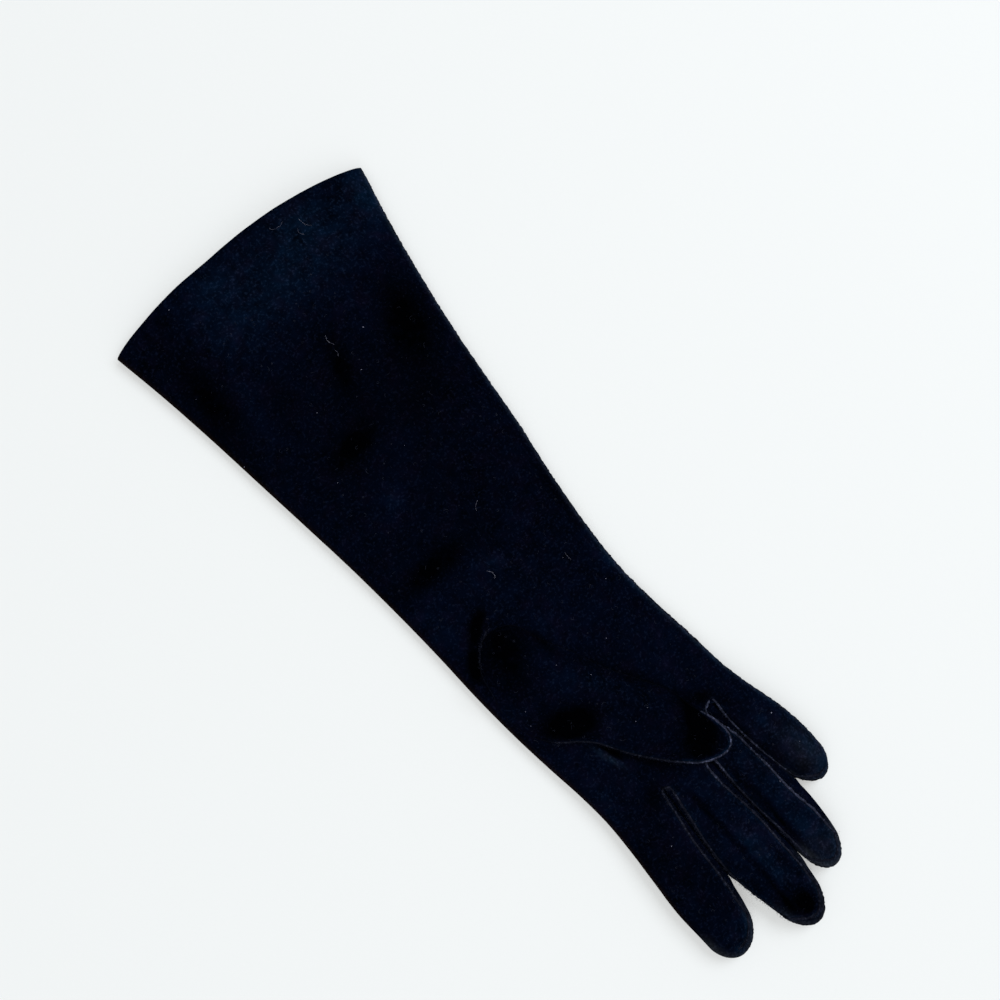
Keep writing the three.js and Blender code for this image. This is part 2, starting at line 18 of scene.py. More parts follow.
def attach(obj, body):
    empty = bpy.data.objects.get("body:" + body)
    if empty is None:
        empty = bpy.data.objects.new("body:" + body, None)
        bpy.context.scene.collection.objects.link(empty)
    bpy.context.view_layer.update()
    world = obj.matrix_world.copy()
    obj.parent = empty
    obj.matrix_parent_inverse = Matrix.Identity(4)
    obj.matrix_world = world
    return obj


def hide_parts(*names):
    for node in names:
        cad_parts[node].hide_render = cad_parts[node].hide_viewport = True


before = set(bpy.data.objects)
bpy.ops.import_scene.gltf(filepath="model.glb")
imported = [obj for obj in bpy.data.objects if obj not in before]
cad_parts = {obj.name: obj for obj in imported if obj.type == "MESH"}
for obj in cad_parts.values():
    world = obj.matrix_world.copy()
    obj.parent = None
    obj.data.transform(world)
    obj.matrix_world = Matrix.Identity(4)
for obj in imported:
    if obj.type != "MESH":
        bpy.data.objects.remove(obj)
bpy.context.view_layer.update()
print("nodes:", sorted(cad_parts))

# %% [markdown]
# ## The pattern's own measure
# A glove maker measures in millimetres, along the glove from the cuff and across it from its middle.
# All tables here do so: y runs from the cuff to the fingertips, x towards the index finger's side, and
# z up from the table. Blender works in metres round the glove's middle, so two functions turn one
# measure into the other.

# %% From the maker's millimetres to Blender's metres and back
MM = 0.001
GLOVE_MIDDLE_X = -0.0886
GLOVE_MIDDLE_Y = 175.17


def at_mm(x, y, z):
    return Vector(((x - GLOVE_MIDDLE_X) * MM, (y - GLOVE_MIDDLE_Y) * MM, z * MM))


def on_glove(place):
    """The maker's x and y of a place in Blender."""
    return place.x / MM + GLOVE_MIDDLE_X, place.y / MM + GLOVE_MIDDLE_Y


def mix(first, second, share):
    return first + (second - first) * share


def smoothstep(low, high, value):
    """0 at low and 1 at high, with a soft start and end. low may be the larger of the two."""
    share = min(1.0, max(0.0, (value - low) / (high - low)))
    return share * share * (3 - 2 * share)


def quarter_round(share):
    """The height of a round end: 0 where it starts, and 1 from its top on."""
    return math.sqrt(1 - (1 - min(1.0, max(0.0, share))) ** 2)


print("the cuff's middle is at", [round(v, 4) for v in at_mm(0, 0, 0)])

# %% [markdown]
# ## The camera
# The picture was taken from above by a hand-held camera that leaned over a little. The camera comes
# first, so that every later step can be looked at through it. The picture has the hard contrast of
# daylight on white paper and black cloth, which Blender's own AgX would soften, so the Standard view
# is chosen.

# %% Set up the camera
CAMERA_PLACE = (0.05054, -0.01516, 0.46044)
CAMERA_TURN = (6.890, -4.983, 138.849)
CAMERA_ANGLE = 48


def add_object(name, data):
    made = bpy.data.objects.new(name, data)
    bpy.context.scene.collection.objects.link(made)
    return made


camera_data = bpy.data.cameras.new("glove_camera")
camera_data.angle = math.radians(CAMERA_ANGLE)
camera = add_object("glove_camera", camera_data)
camera.location = CAMERA_PLACE
camera.rotation_euler = [math.radians(turn) for turn in CAMERA_TURN]
bpy.context.scene.camera = camera
bpy.context.scene.view_settings.view_transform = "Standard"
print("camera height over the table:", camera.location.z)

# %% [markdown]
# ## Reading a table smoothly
# A soft form has no corners along its length. Each table holds a few measured rows, and a curve gives
# every row between. It passes through each value with a slope that comes from the two neighbours,
# which keeps the outline free of kinks.

# %% A table whose columns are smooth curves
class Pattern:
    """Rows of measures along a form, read as smooth curves of the first column."""

    def __init__(self, *rows):
        self.stops = [row[0] for row in rows]
        self.values = [row[1:] for row in rows]
        steps = [b - a for a, b in zip(self.stops, self.stops[1:])]
        rises = [
            [(q - p) / step for p, q in zip(low, high)]
            for low, high, step in zip(self.values, self.values[1:], steps)
        ]
        self.slopes = [rises[0]]
        for before, after, step, next_step in zip(rises, rises[1:], steps, steps[1:]):
            both = step + next_step
            self.slopes.append([(a * next_step + b * step) / both for a, b in zip(before, after)])
        self.slopes.append(rises[-1])

    def row(self, at):
        at = min(max(at, self.stops[0]), self.stops[-1])
        k = max(k for k in range(len(self.stops) - 1) if self.stops[k] <= at)
        step = self.stops[k + 1] - self.stops[k]
        t = (at - self.stops[k]) / step
        rise = 3 * t**2 - 2 * t**3
        leave, arrive = t**3 - 2 * t**2 + t, t**3 - t**2
        columns = zip(self.values[k], self.values[k + 1], self.slopes[k], self.slopes[k + 1])
        return [mix(p, q, rise) + (m * leave + n * arrive) * step for p, q, m, n in columns]


print("pattern curves are ready")

# %% [markdown]
# ## The measures of the glove
# The sleeve and palm are one flattened tube. Each row gives a place along the glove, the two folded
# edges, the height of the upper cloth and that of the fold. The fingers have the same columns, and
# each tip closes over the length in TIP_ROUND. A fork is where two fingers part.

# %% Tables for the sleeve, the palm and the fingers
TUBE = Pattern(
    (0, -64.3, 64.6, 12.8, 2.9), (25, -58.3, 60.4, 12.0, 2.7), (50, -53.3, 57.0, 11.5, 2.6),
    (75, -49.2, 54.1, 11.5, 2.6), (100, -46.0, 51.2, 11.7, 2.6), (125, -43.2, 48.4, 11.3, 2.6),
    (150, -39.4, 46.3, 10.8, 2.6), (175, -36.6, 44.8, 10.2, 2.8), (200, -35.6, 43.9, 9.5, 2.9),
    (220, -37.2, 42.5, 9.0, 3.0), (240, -39.6, 40.3, 8.8, 3.2), (253, -40.9, 38.6, 8.8, 3.4),
    (264, -41.9, 37.0, 8.7, 3.5),
)
FINGERS = {
    "little": Pattern(
        (234, -38.5, -26.5, 8.0, 3.0), (252, -40.6, -27.0, 8.3, 3.4), (268, -43.8, -27.2, 8.9, 3.6),
        (284, -48.0, -28.0, 9.4, 3.9), (302, -49.9, -31.0, 9.4, 3.9), (316.4, -49.3, -35.0, 8.2, 3.7),
    ),
    "ring": Pattern(
        (234, -26.5, -11.0, 8.4, 3.2), (256, -26.9, -10.6, 8.6, 3.4), (270, -27.1, -10.9, 8.8, 3.6),
        (283, -27.9, -11.2, 9.0, 3.8), (298, -30.2, -11.9, 9.9, 4.1), (316, -32.2, -12.9, 10.0, 4.1),
        (330, -31.6, -13.8, 9.6, 4.1), (345.5, -29.2, -15.6, 8.5, 3.9),
    ),
    "middle": Pattern(
        (234, -10.8, 11.0, 8.6, 3.2), (256, -10.4, 11.0, 8.6, 3.4), (270, -10.4, 11.0, 8.8, 3.6),
        (285, -10.8, 11.7, 9.3, 3.9), (300, -11.4, 12.9, 10.3, 4.2), (318, -12.3, 13.5, 10.6, 4.3),
        (336, -12.5, 10.4, 10.0, 4.1), (357, -9.6, 5.6, 8.7, 3.9),
    ),
    "index": Pattern(
        (234, 11.4, 40.8, 8.6, 3.2), (256, 11.4, 38.2, 8.7, 3.4), (270, 11.4, 37.1, 8.9, 3.6),
        (285, 12.1, 37.4, 9.6, 3.9), (300, 13.4, 38.4, 10.4, 4.2), (316, 14.5, 39.4, 10.5, 4.2),
        (330, 16.4, 38.8, 9.9, 4.1), (345.4, 20.2, 38.2, 8.7, 3.9),
    ),
}
TIP_ROUND = {"little": 10, "ring": 10.5, "middle": 12, "index": 11}
FORKS = {"ring_little": 261.8, "middle_ring": 278.0, "index_middle": 275.0}
FORK_BESIDE = {}
for fork_name, fork in FORKS.items():
    right, left = fork_name.split("_")
    FORK_BESIDE[left, 1] = FORK_BESIDE[right, -1] = fork


def tip_of(finger):
    return FINGERS[finger].stops[-1]


def section_at(table, y):
    """Where the middle of a section lies, half its width, and the heights of its cloth and its fold."""
    left, right, height, edge = table.row(y)
    return (left + right) / 2, (right - left) / 2, height, edge


for finger in FINGERS:
    print(finger, "finger ends", tip_of(finger), "mm from the cuff")

# %% [markdown]
# An empty glove finger rolls over a little when it is laid down. So the seam towards the little finger,
# on side -1, comes to lie on top, a few millimetres inside the outline, and the one on its other side
# stays at the very edge. This table says how far each seam lies inside its finger's edge.

# %% How far the seams lie inside the edges
SEAM_INSETS = {
    ("little", 1): [(262, 0.9), (268, 0.4), (286, 0.4), (300, 0.3), (316.4, 0.5)],
    ("ring", -1): [
        (262, 5.2), (267, 5.0), (273, 3.4), (280, 2.0), (287, 2.4),
        (298, 3.5), (312, 4.6), (323, 3.0), (334, 2.4), (345.5, 2.0),
    ],
    ("ring", 1): [(279, 1.0), (291, 0.5), (304, 0.3), (318, 0.8), (345.5, 0.6)],
    ("middle", -1): [
        (279, 2.8), (286, 3.2), (296, 2.6), (302, 2.0), (310, 1.8), (325, 2.3), (341, 2.3), (357, 2.0),
    ],
    ("middle", 1): [(276, 2.4), (284, 1.6), (292, 1.2), (300, 0.7), (318, 0.4), (357, 0.8)],
    ("index", -1): [(276, 1.4), (286, 1.9), (296, 2.6), (310, 2.7), (330, 2.4), (345.4, 2.4)],
}
SEAM_INSETS = {seam: Pattern(*rows) for seam, rows in SEAM_INSETS.items()}


def inset(finger, side, y):
    return SEAM_INSETS[finger, side].row(y)[0]


print("the ring finger's seam lies", inset("ring", -1, 312), "mm inside its edge")

# %% [markdown]
# ## How a section is shaped
# Cut across, the empty glove is flat below and softly crowned above. The crown falls off fast only
# near the folds, and the underside curls up in its last few millimetres.

# %% The shape of a section
CROWN_POWER = 3.2
CROWN_ROUND = 0.58
STEEP_POWER = 6.0
STEEP_ROUND = 0.42
CURL = 3.2


def crown(share):
    return (1 - min(1.0, abs(share)) ** CROWN_POWER) ** CROWN_ROUND


def rolled_crown(share):
    """The crown of a finger that rolled over: it falls off later and steeper on the side to the right."""
    steep = (1 - min(1.0, max(0.0, share)) ** STEEP_POWER) ** STEEP_ROUND
    return mix(crown(share), steep, smoothstep(0.0, 0.5, share))


def curl(share, half):
    reach = min(CURL, half)
    return (max(0.0, abs(share) * half - (half - reach)) / reach) ** 2


print("the crown at 0, a half and 0.9 of the way out:", [round(crown(s), 2) for s in (0, 0.5, 0.9)])

# %% [markdown]
# ## Folds and dents
# Empty cloth is never even: it swells where air is caught and sinks where it was pressed. A row of
# FOLDS is one long swell or dent, with its middle, direction, length, width and height. A crease is
# narrower: it has a depth and a width and follows a few points. A depth below nothing stands up.

# %% Tables of folds, dents and creases
FOLDS = [
    (-20, 24, 80, 34, 17, 1.8), (14, 6, 95, 26, 10, -1.3), (42, 30, 100, 24, 11, -2.2),
    (-34, 60, 105, 24, 9, -2.2), (18, 86, 60, 26, 9, -2.2), (-14, 112, 35, 26, 9, 1.3),
    (26, 147, 2, 20, 7, -2.4), (4, 166, 150, 26, 8, 1.3), (-22, 196, 95, 26, 8, 1.1),
]
CREASES = [
    (1.1, 1.1, [(4.3, 285), (4.3, 296), (3.8, 303), (3.7, 315), (3.2, 327), (3.7, 338), (4.3, 344)]),
    (0.7, 1.1, [(-14.0, 289), (-16.2, 300), (-16.2, 308), (-16.4, 322), (-16.4, 336)]),
    (0.7, 1.1, [(-30.6, 266), (-31.8, 272), (-33.6, 282), (-35.2, 293)]),
    (0.9, 1.0, [(18.8, 245), (17.2, 250), (16.2, 254.6)]),
    (-0.6, 1.0, [(21.0, 244), (19.4, 250), (17.9, 256)]),
    (1.1, 2.2, [(21, 174.2), (26.1, 177.2), (29.8, 180.3), (34, 184.5), (37.1, 188.7), (38.2, 192)]),
]
CREASE_REACH = 4
SPOT_REACH = 3
WAVE_ACROSS, WAVE_ALONG, WAVE_HEIGHT = 26, 44, 0.55
RIPPLE_ACROSS, RIPPLE_ALONG, RIPPLE_HEIGHT = 9, 13, 0.22


def spots_at(x, y, rows):
    """The sum of the soft oval spots that reach a place."""
    total = 0.0
    for middle_x, middle_y, turn, length, width, strength in rows:
        c, s = math.cos(math.radians(turn)), math.sin(math.radians(turn))
        along = (x - middle_x) * c + (y - middle_y) * s
        across = (y - middle_y) * c - (x - middle_x) * s
        if abs(along) < SPOT_REACH * length and abs(across) < SPOT_REACH * width:
            total += strength * math.exp(-((along / length) ** 2) - (across / width) ** 2)
    return total


def crease_height(x, y):
    total = 0.0
    for depth, width, points in CREASES:
        reach = CREASE_REACH * width
        if points[0][1] - reach < y < points[-1][1] + reach:
            away = []
            for (ax, ay), (bx, by) in zip(points, points[1:]):
                square = (bx - ax) ** 2 + (by - ay) ** 2
                t = min(1.0, max(0.0, ((x - ax) * (bx - ax) + (y - ay) * (by - ay)) / square))
                away.append(math.hypot(x - ax - t * (bx - ax), y - ay - t * (by - ay)))
            total -= depth * math.exp(-((min(away) / width) ** 2))
    return total


def wrinkle_height(x, y):
    """Slight unevenness of the cloth: long soft waves, and small ones on top of them."""
    wave = noise.noise(Vector((x / WAVE_ACROSS, y / WAVE_ALONG, 1.7)))
    ripple = noise.noise(Vector((x / RIPPLE_ACROSS, y / RIPPLE_ALONG, 5.1)))
    return WAVE_HEIGHT * wave + RIPPLE_HEIGHT * ripple


print("folds:", len(FOLDS), "creases:", len(CREASES))

# %% [markdown]
# ## From the flat pattern to the lying glove
# A glove maker cuts the hand from one flat cloth, the trank: a sleeve with four strips for the fingers,
# once for the palm and once for the back. We take a flat grid with a slit between each two fingers,
# and a rule that says where each of its points lies on the finished glove. Before the knuckles a point
# belongs to the palm's tube, after them to its finger, and in between to both.

# %% Where a point of the palm lies
PALM_ENDS = 238
FINGER_STARTS = 264
CUFF_BOW = 6.5
CUFF_BOW_REACH = 50


def palm_point(section, y, share, upper):
    middle, half, height, edge = section
    x = middle + share * half
    if upper:
        z = mix(edge, height, crown(share))
        z += (spots_at(x, y, FOLDS) + crease_height(x, y) + wrinkle_height(x, y)) * crown(share)
    else:
        z = edge * curl(share, half)
    bow = CUFF_BOW * (1 - share**2) * (1 - smoothstep(0, CUFF_BOW_REACH, y))
    return Vector((x, y - bow, z))


def palm_top(x, y):
    """The height of the palm's upper cloth at a place under the thumb."""
    section = section_at(TUBE, y)
    return palm_point(section, y, (x - section[0]) / section[1], True).z


print("the palm's cloth lies", round(palm_top(0, 220), 2), "mm over the table")

# %% [markdown]
# ## The fingers and their forks
# Past a fork the palm's cloth covers a finger only from seam to seam. Towards the tip the two seams of
# a side meet, so the strip between them ends in a point. Before the fork two fingers are one cloth,
# with a shallow valley that deepens towards the fork.

# %% Where a point of a finger lies
SEAM_LOW = 0.91
FORK_SPREAD = 2.6
FORK_VALLEY = 0.62
VALLEY_BEFORE, VALLEY_PAST = 20, 15
UNDER_BEFORE, UNDER_PAST = 8, 5
STRIP_POINT = 0.35
STRIP_FULL = 1.6
BLUNT = 0.07
FINGER_WRINKLE = 0.6


def openness(finger, y):
    """How far a fingertip is still open: 1 along the finger, 0 at its end."""
    return quarter_round((tip_of(finger) - y) / TIP_ROUND[finger])


def strip_width(finger, y):
    """How wide the side strip still is: 1 along the finger, 0 past its point."""
    reach = TIP_ROUND[finger]
    return smoothstep(reach * STRIP_POINT, reach * STRIP_FULL, tip_of(finger) - y)


def seam_share(finger, y, side, upper):
    """Where the cloth ends on one side, as a share of the half width."""
    fork = FORK_BESIDE.get((finger, side))
    if fork is None:
        return 1.0
    half = section_at(FINGERS[finger], y)[1]
    seam = 1 - inset(finger, side, y) / half if upper else SEAM_LOW
    return mix(1.0, seam, strip_width(finger, y) * quarter_round((y - fork) / FORK_SPREAD))


def valley(finger, y, side, upper):
    """How much the valley beside a finger is still filled by the cloth that the two fingers share."""
    fork = FORK_BESIDE.get((finger, side))
    if fork is None:
        return 0.0
    if upper:
        before = mix(1.0, FORK_VALLEY, smoothstep(fork - VALLEY_BEFORE, fork, y))
        return before * (1 - smoothstep(fork, fork + VALLEY_PAST, y))
    return 1 - smoothstep(fork - UNDER_BEFORE, fork + UNDER_PAST, y)


def blunt_half(finger, y, half):
    """Half the width of a finger, which closes over its tip but never to a needle's point."""
    return half * max(openness(finger, y), BLUNT)


def finger_point(finger, y, share, upper):
    middle, half, height, edge = section_at(FINGERS[finger], y)
    half, open_share = blunt_half(finger, y, half), openness(finger, y)
    x = middle + share * half
    filled = valley(finger, y, -1 if share < 0 else 1, upper)
    if upper:
        crowned = crown(share) if finger == "index" else rolled_crown(share)
        z = mix(edge, height, mix(crowned, 1, filled) * open_share)
        z += (crease_height(x, y) + FINGER_WRINKLE * wrinkle_height(x, y)) * crown(share) * open_share
    else:
        z = edge - edge * (1 - (1 - filled) * curl(share, half)) * open_share
    return Vector((x, y, z))


def seam_point(finger, y, side, upper):
    return finger_point(finger, y, side * seam_share(finger, y, side, upper), upper)


print("the index finger's seam runs at", round(seam_share("index", 300, -1, True), 2), "of its half width")

# %% [markdown]
# ## Rows and columns of the cloth
# The rows are 1.5 mm apart up to the forks. Past them each finger has its own, which draw together over
# the rounded tip. Each finger's columns also run down over the palm and the sleeve, and they draw
# together at the two folded edges, where the cloth turns over most sharply.

# %% Lay out the rows and the columns
ROW_STEP = 1.5
SHARED_ROWS = 188
STRAIGHT_ROWS = 34
TIP_ROWS = 18
ROWS = SHARED_ROWS + STRAIGHT_ROWS + TIP_ROWS
COLUMNS = {"little": 18, "ring": 18, "middle": 24, "index": 26}
FIRST_COLUMN = {"little": 0, "ring": 18, "middle": 36, "index": 60}
ALL_COLUMNS = sum(COLUMNS.values())
EDGE_EASE = 1.5


def row_place(finger, row):
    """How far from the cuff a row lies on one finger."""
    if row <= SHARED_ROWS:
        return row * ROW_STEP
    tip, reach = tip_of(finger), TIP_ROUND[finger]
    row -= SHARED_ROWS
    if row <= STRAIGHT_ROWS:
        return mix(SHARED_ROWS * ROW_STEP, tip - reach, row / STRAIGHT_ROWS)
    return tip - reach * (1 - math.sin(math.pi / 2 * (row - STRAIGHT_ROWS) / TIP_ROWS))


def column_share(finger, column, y, upper):
    """A column's place on its finger, as a share of the half width."""
    t = (column - FIRST_COLUMN[finger]) / COLUMNS[finger]
    if finger == "little":
        t = t**EDGE_EASE
    if finger == "index":
        t = 1 - (1 - t) ** EDGE_EASE
    return mix(-seam_share(finger, y, -1, upper), seam_share(finger, y, 1, upper), t)


def palm_share(finger, column):
    """A column's place on the palm, as a share of the palm's half width."""
    left = FINGERS["little"].row(FINGER_STARTS)[0]
    right = FINGERS["index"].row(FINGER_STARTS)[1]
    middle, half = section_at(FINGERS[finger], FINGER_STARTS)[:2]
    x = middle + column_share(finger, column, FINGER_STARTS, True) * half
    return 2 * (x - left) / (right - left) - 1


found = {}
for finger, first in FIRST_COLUMN.items():
    for column in range(first, first + COLUMNS[finger] + 1):
        found.setdefault(column, []).append(palm_share(finger, column))
PALM_SHARES = {column: sum(shares) / len(shares) for column, shares in found.items()}
PALM_SHARES[0], PALM_SHARES[ALL_COLUMNS] = -1.0, 1.0
PALM_ROWS = [section_at(TUBE, row * ROW_STEP) for row in range(SHARED_ROWS + 1)]
print("columns:", ALL_COLUMNS, "rows:", ROWS)

# %% [markdown]
# The rule is now one function that blends the palm's place and the finger's place of a grid point. A
# point before a slit, on its line, belongs to two fingers and takes the place half way between.

# %% Where a grid point lies
def cloth_point(fingers, column, row, upper):
    place = Vector((0, 0, 0))
    for finger in fingers:
        y = row_place(finger, row)
        to_finger = smoothstep(PALM_ENDS, FINGER_STARTS, y)
        if to_finger < 1:
            place += palm_point(PALM_ROWS[row], y, PALM_SHARES[column], upper) * (1 - to_finger)
        if to_finger > 0:
            place += finger_point(finger, y, column_share(finger, column, y, upper), upper) * to_finger
    return place / len(fingers)


print("a point at the cuff:", [round(v, 1) for v in cloth_point(["ring"], 20, 0, True)])

# %% [markdown]
# ## Cutting and laying the trank
# Blender's own operator makes the grid. Its edges along the three slits are split, each point is moved
# to its place, and a second grid makes the back. Along the folded edges and round the fingertips the
# points of the two fall together and are merged. The thumb's hole is an oval, with its middle and its
# two half widths in THUMB_HOLE. Points are listed in order, so that every run gives the same mesh.

# %% Cut the trank
TOUCHING = 0.01
THUMB_HOLE = (22.5, 206, 10.5, 18)
SLITS = {FIRST_COLUMN[name.split("_")[0]]: round(fork / ROW_STEP) for name, fork in FORKS.items()}


def each_once(found):
    return list(dict.fromkeys(found))


def make_grid(bm, columns, rows):
    """A flat grid, one unit wide and one unit long: its points and its faces."""
    verts = bmesh.ops.create_grid(bm, x_segments=columns, y_segments=rows, size=0.5)["verts"]
    return verts, each_once(face for vert in verts for face in vert.link_faces)


def grid_place(vert, columns, rows):
    """The column and the row of a point that still lies in its flat grid."""
    return round((vert.co.x + 0.5) * columns), round((vert.co.y + 0.5) * rows)


def fingers_at(vert, column_of_face):
    """The fingers that a grid point belongs to: two where it lies on a slit's line before the slit."""
    beside = [column_of_face[face] for face in vert.link_faces]
    return [name for name in FINGERS if any(0 <= c - FIRST_COLUMN[name] < COLUMNS[name] for c in beside)]


def cut_side(bm, upper):
    faces = make_grid(bm, ALL_COLUMNS, ROWS)[1]
    slit_edges = []
    for edge in each_once(edge for face in faces for edge in face.edges):
        (column, row), (other_column, other_row) = [grid_place(v, ALL_COLUMNS, ROWS) for v in edge.verts]
        if column == other_column and min(row, other_row) >= SLITS.get(column, ROWS):
            slit_edges.append(edge)
    bmesh.ops.split_edges(bm, edges=slit_edges)
    column_of_face = {face: int((face.calc_center_median().x + 0.5) * ALL_COLUMNS) for face in faces}
    for vert in each_once(vert for face in faces for vert in face.verts):
        column, row = grid_place(vert, ALL_COLUMNS, ROWS)
        vert.co = at_mm(*cloth_point(fingers_at(vert, column_of_face), column, row, upper))
    if not upper:
        bmesh.ops.reverse_faces(bm, faces=faces)


def merge_rims(bm):
    rim = each_once(vert for edge in bm.edges if edge.is_boundary for vert in edge.verts)
    bmesh.ops.remove_doubles(bm, verts=rim, dist=TOUCHING * MM)


def cut_thumb_hole(bm, faces):
    hole = []
    for face in faces:
        x, y = on_glove(face.calc_center_median())
        if ((x - THUMB_HOLE[0]) / THUMB_HOLE[2]) ** 2 + ((y - THUMB_HOLE[1]) / THUMB_HOLE[3]) ** 2 < 1:
            hole.append(face)
    bmesh.ops.delete(bm, geom=hole, context="FACES")


def finish_mesh(bm, name, smooth=True):
    mesh = bpy.data.meshes.new(name)
    for face in bm.faces:
        face.smooth = smooth
    bm.to_mesh(mesh)
    bm.free()
    print(name, "has", len(mesh.vertices), "points and", len(mesh.polygons), "faces")
    return add_object(name, mesh)


bm = bmesh.new()
cut_side(bm, True)
cut_thumb_hole(bm, bm.faces)
cut_side(bm, False)
merge_rims(bm)
trank = finish_mesh(bm, "trank")

# %% [markdown]
# A Solidify modifier gives the closed skin the thickness of real cloth, on its inner side, so that the
# cuff stays open. At the very edges two layers have less room than they need. A ray from each point
# into the glove measures that room, and a vertex group makes the wall thinner there.

# %% Give the cloth its thickness
CLOTH = 1.0
LAYERS = 2.3
THINNEST = 0.05
OFF_CLOTH = 0.02


def room_inside(mesh, thickness):
    """The share of its thickness that the wall may have: not quite half of the room behind each point."""
    faces = [list(polygon.vertices) for polygon in mesh.polygons]
    tree = BVHTree.FromPolygons([vert.co for vert in mesh.vertices], faces)
    room = []
    for vert in mesh.vertices:
        behind = tree.ray_cast(vert.co - vert.normal * OFF_CLOTH * MM, -vert.normal)[3]
        room.append(1.0 if behind is None else min(1.0, behind / (LAYERS * thickness * MM)))
    least = list(room)
    for edge in mesh.edges:
        first, second = edge.vertices
        least[first] = min(least[first], room[second])
        least[second] = min(least[second], room[first])
    return least


def thicken(piece, thickness=CLOTH):
    group = piece.vertex_groups.new(name="wall_share")
    for index, share in enumerate(room_inside(piece.data, thickness)):
        group.add([index], share, "REPLACE")
    wall = piece.modifiers.new("cloth_thickness", "SOLIDIFY")
    wall.thickness = thickness * MM
    wall.offset = -1
    wall.use_even_offset = False
    wall.use_rim = True
    wall.vertex_group = group.name
    wall.thickness_vertex_group = THINNEST


thicken(trank)
print("the trank's cloth is", CLOTH, "mm thick")

# %% [markdown]
# ## The fourchettes
# Between two fingers runs one long narrow strip, the fourchette, from near one fingertip down to the
# fork and up to the other tip. It is sewn to the palm's cloth along one side and to the back along the
# other. Here it is a grid twelve faces wide whose long sides lie exactly on the borders of the slits.
# It rounds over a shoulder to the finger's side, because two neighbours press their strips together
# and leave only a shallow groove between them.

# %% Lay the fourchettes
STRIP_FACES = 12
STRIP_CLOTH = 0.8
STRIP_GAP = 0.03
SHOULDER = 2.4
SHOULDER_SHARE = 0.45
SHOULDER_FACES = 4
PARTED = (1.0, 2.4)


def fold_x(finger, y, side):
    middle, half = section_at(FINGERS[finger], y)[:2]
    return middle + side * blunt_half(finger, y, half)


def pressed_x(finger, y, side):
    """Where the strip stands: at its finger's own side, or against its neighbour while the two touch."""
    order = list(FINGERS)
    own = fold_x(finger, y, side)
    other = fold_x(order[order.index(finger) + side], y, -side)
    touching = (own + other) / 2 - side * STRIP_GAP
    return mix(touching, own, smoothstep(*PARTED, (other - own) * side))


def side_place(finger, y, side, step):
    """A point of the strip: step 0 is at the palm's seam, and STRIP_FACES at the back's seam."""
    x = pressed_x(finger, y, side)
    top, under = seam_point(finger, y, side, True), seam_point(finger, y, side, False)
    shoulder = min(SHOULDER, SHOULDER_SHARE * (top.z - under.z))
    high, low = top.z - shoulder, under.z + shoulder
    steps_in = min(step, STRIP_FACES - step)
    if steps_in > SHOULDER_FACES:
        share = (step - SHOULDER_FACES) / (STRIP_FACES - 2 * SHOULDER_FACES)
        return Vector((x, y, mix(high, low, share)))
    seam, foot = (top, high) if step == steps_in else (under, low)
    turn = math.pi / 2 * steps_in / SHOULDER_FACES
    return Vector((mix(seam.x, x, math.sin(turn)), y, mix(foot, seam.z, math.cos(turn))))


def lay_fourchette(fork_name, fork):
    right, left = fork_name.split("_")
    legs = []
    for finger, side in ((left, 1), (right, -1)):
        rows = range(round(fork / ROW_STEP), ROWS + 1)
        rows = [row for row in rows if strip_width(finger, row_place(finger, row)) > 0]
        legs.append([(finger, side, row_place(finger, row)) for row in [*rows, rows[-1] + 1]])
    run = legs[0][::-1] + legs[1][1:]
    bm = bmesh.new()
    for vert in make_grid(bm, len(run) - 1, STRIP_FACES)[0]:
        along, row = grid_place(vert, len(run) - 1, STRIP_FACES)
        finger, side, y = run[along]
        place = side_place(finger, y, side, STRIP_FACES - row)
        if along == len(legs[0]) - 1:
            place = (place + side_place(right, y, -1, STRIP_FACES - row)) / 2
        vert.co = at_mm(*place)
    bmesh.ops.remove_doubles(bm, verts=bm.verts, dist=TOUCHING * MM)
    bmesh.ops.recalc_face_normals(bm, faces=bm.faces)
    piece = finish_mesh(bm, "strip_" + fork_name)
    thicken(piece, STRIP_CLOTH)
    return piece


fourchettes = {fork_name: lay_fourchette(fork_name, fork) for fork_name, fork in FORKS.items()}
print("fourchettes:", len(fourchettes))

# %% [markdown]
# ## The thumb
# The thumb is a cloth of its own, set into a hole in the palm. Empty, it folds over the palm as a flat
# soft tube with a rounded root and tip. The table gives its middle line, the direction of its width,
# half that width and its heights. On the index finger's side of the root its cloth runs down over the
# edge of the palm without a break, so there it swells out of the palm's cloth and its under layer is
# set into it.

# %% The thumb's table
THUMB = Pattern(
    (0, 25.6, 182.5, 12, 11.0, 13.2, 1.1), (1, 25.0, 194.5, 18, 13.6, 15.2, 1.3),
    (2, 24.4, 206.9, 24, 17.4, 16.4, 1.4), (3, 19.1, 219.1, 32, 18.6, 17.0, 1.8),
    (4, 9.3, 232.0, 36, 14.9, 17.2, 2.4), (5, 1.0, 245.5, 39, 14.6, 17.2, 2.7),
    (6, -7.0, 257.5, 44, 13.6, 17.0, 2.8), (7, -12.2, 267.4, 46, 10.4, 16.6, 2.8),
    (8, -20.7, 278.8, 40, 8.2, 15.8, 2.8),
)
THUMB_END = 8
THUMB_ROOT_ROUND = 0.9
THUMB_TIP_ROUND = 1.1
THUMB_CLEAR = 0.3
THUMB_LAID = 0.03
THUMB_SET_IN = 1.2
LAID_STRETCH = (0.9, 1.7, 2.8, 3.5)
SOFT_STRETCH = (0.4, 1.2, 5.6, 7.2)
SOFT_SIDE = (0.2, 0.9)
SOFT_POWER = 2.2
SOFT_ROUND = 0.85
SET_IN_SIDE = (0.2, 0.8)
SET_IN_EDGE = (1.0, 0.86)
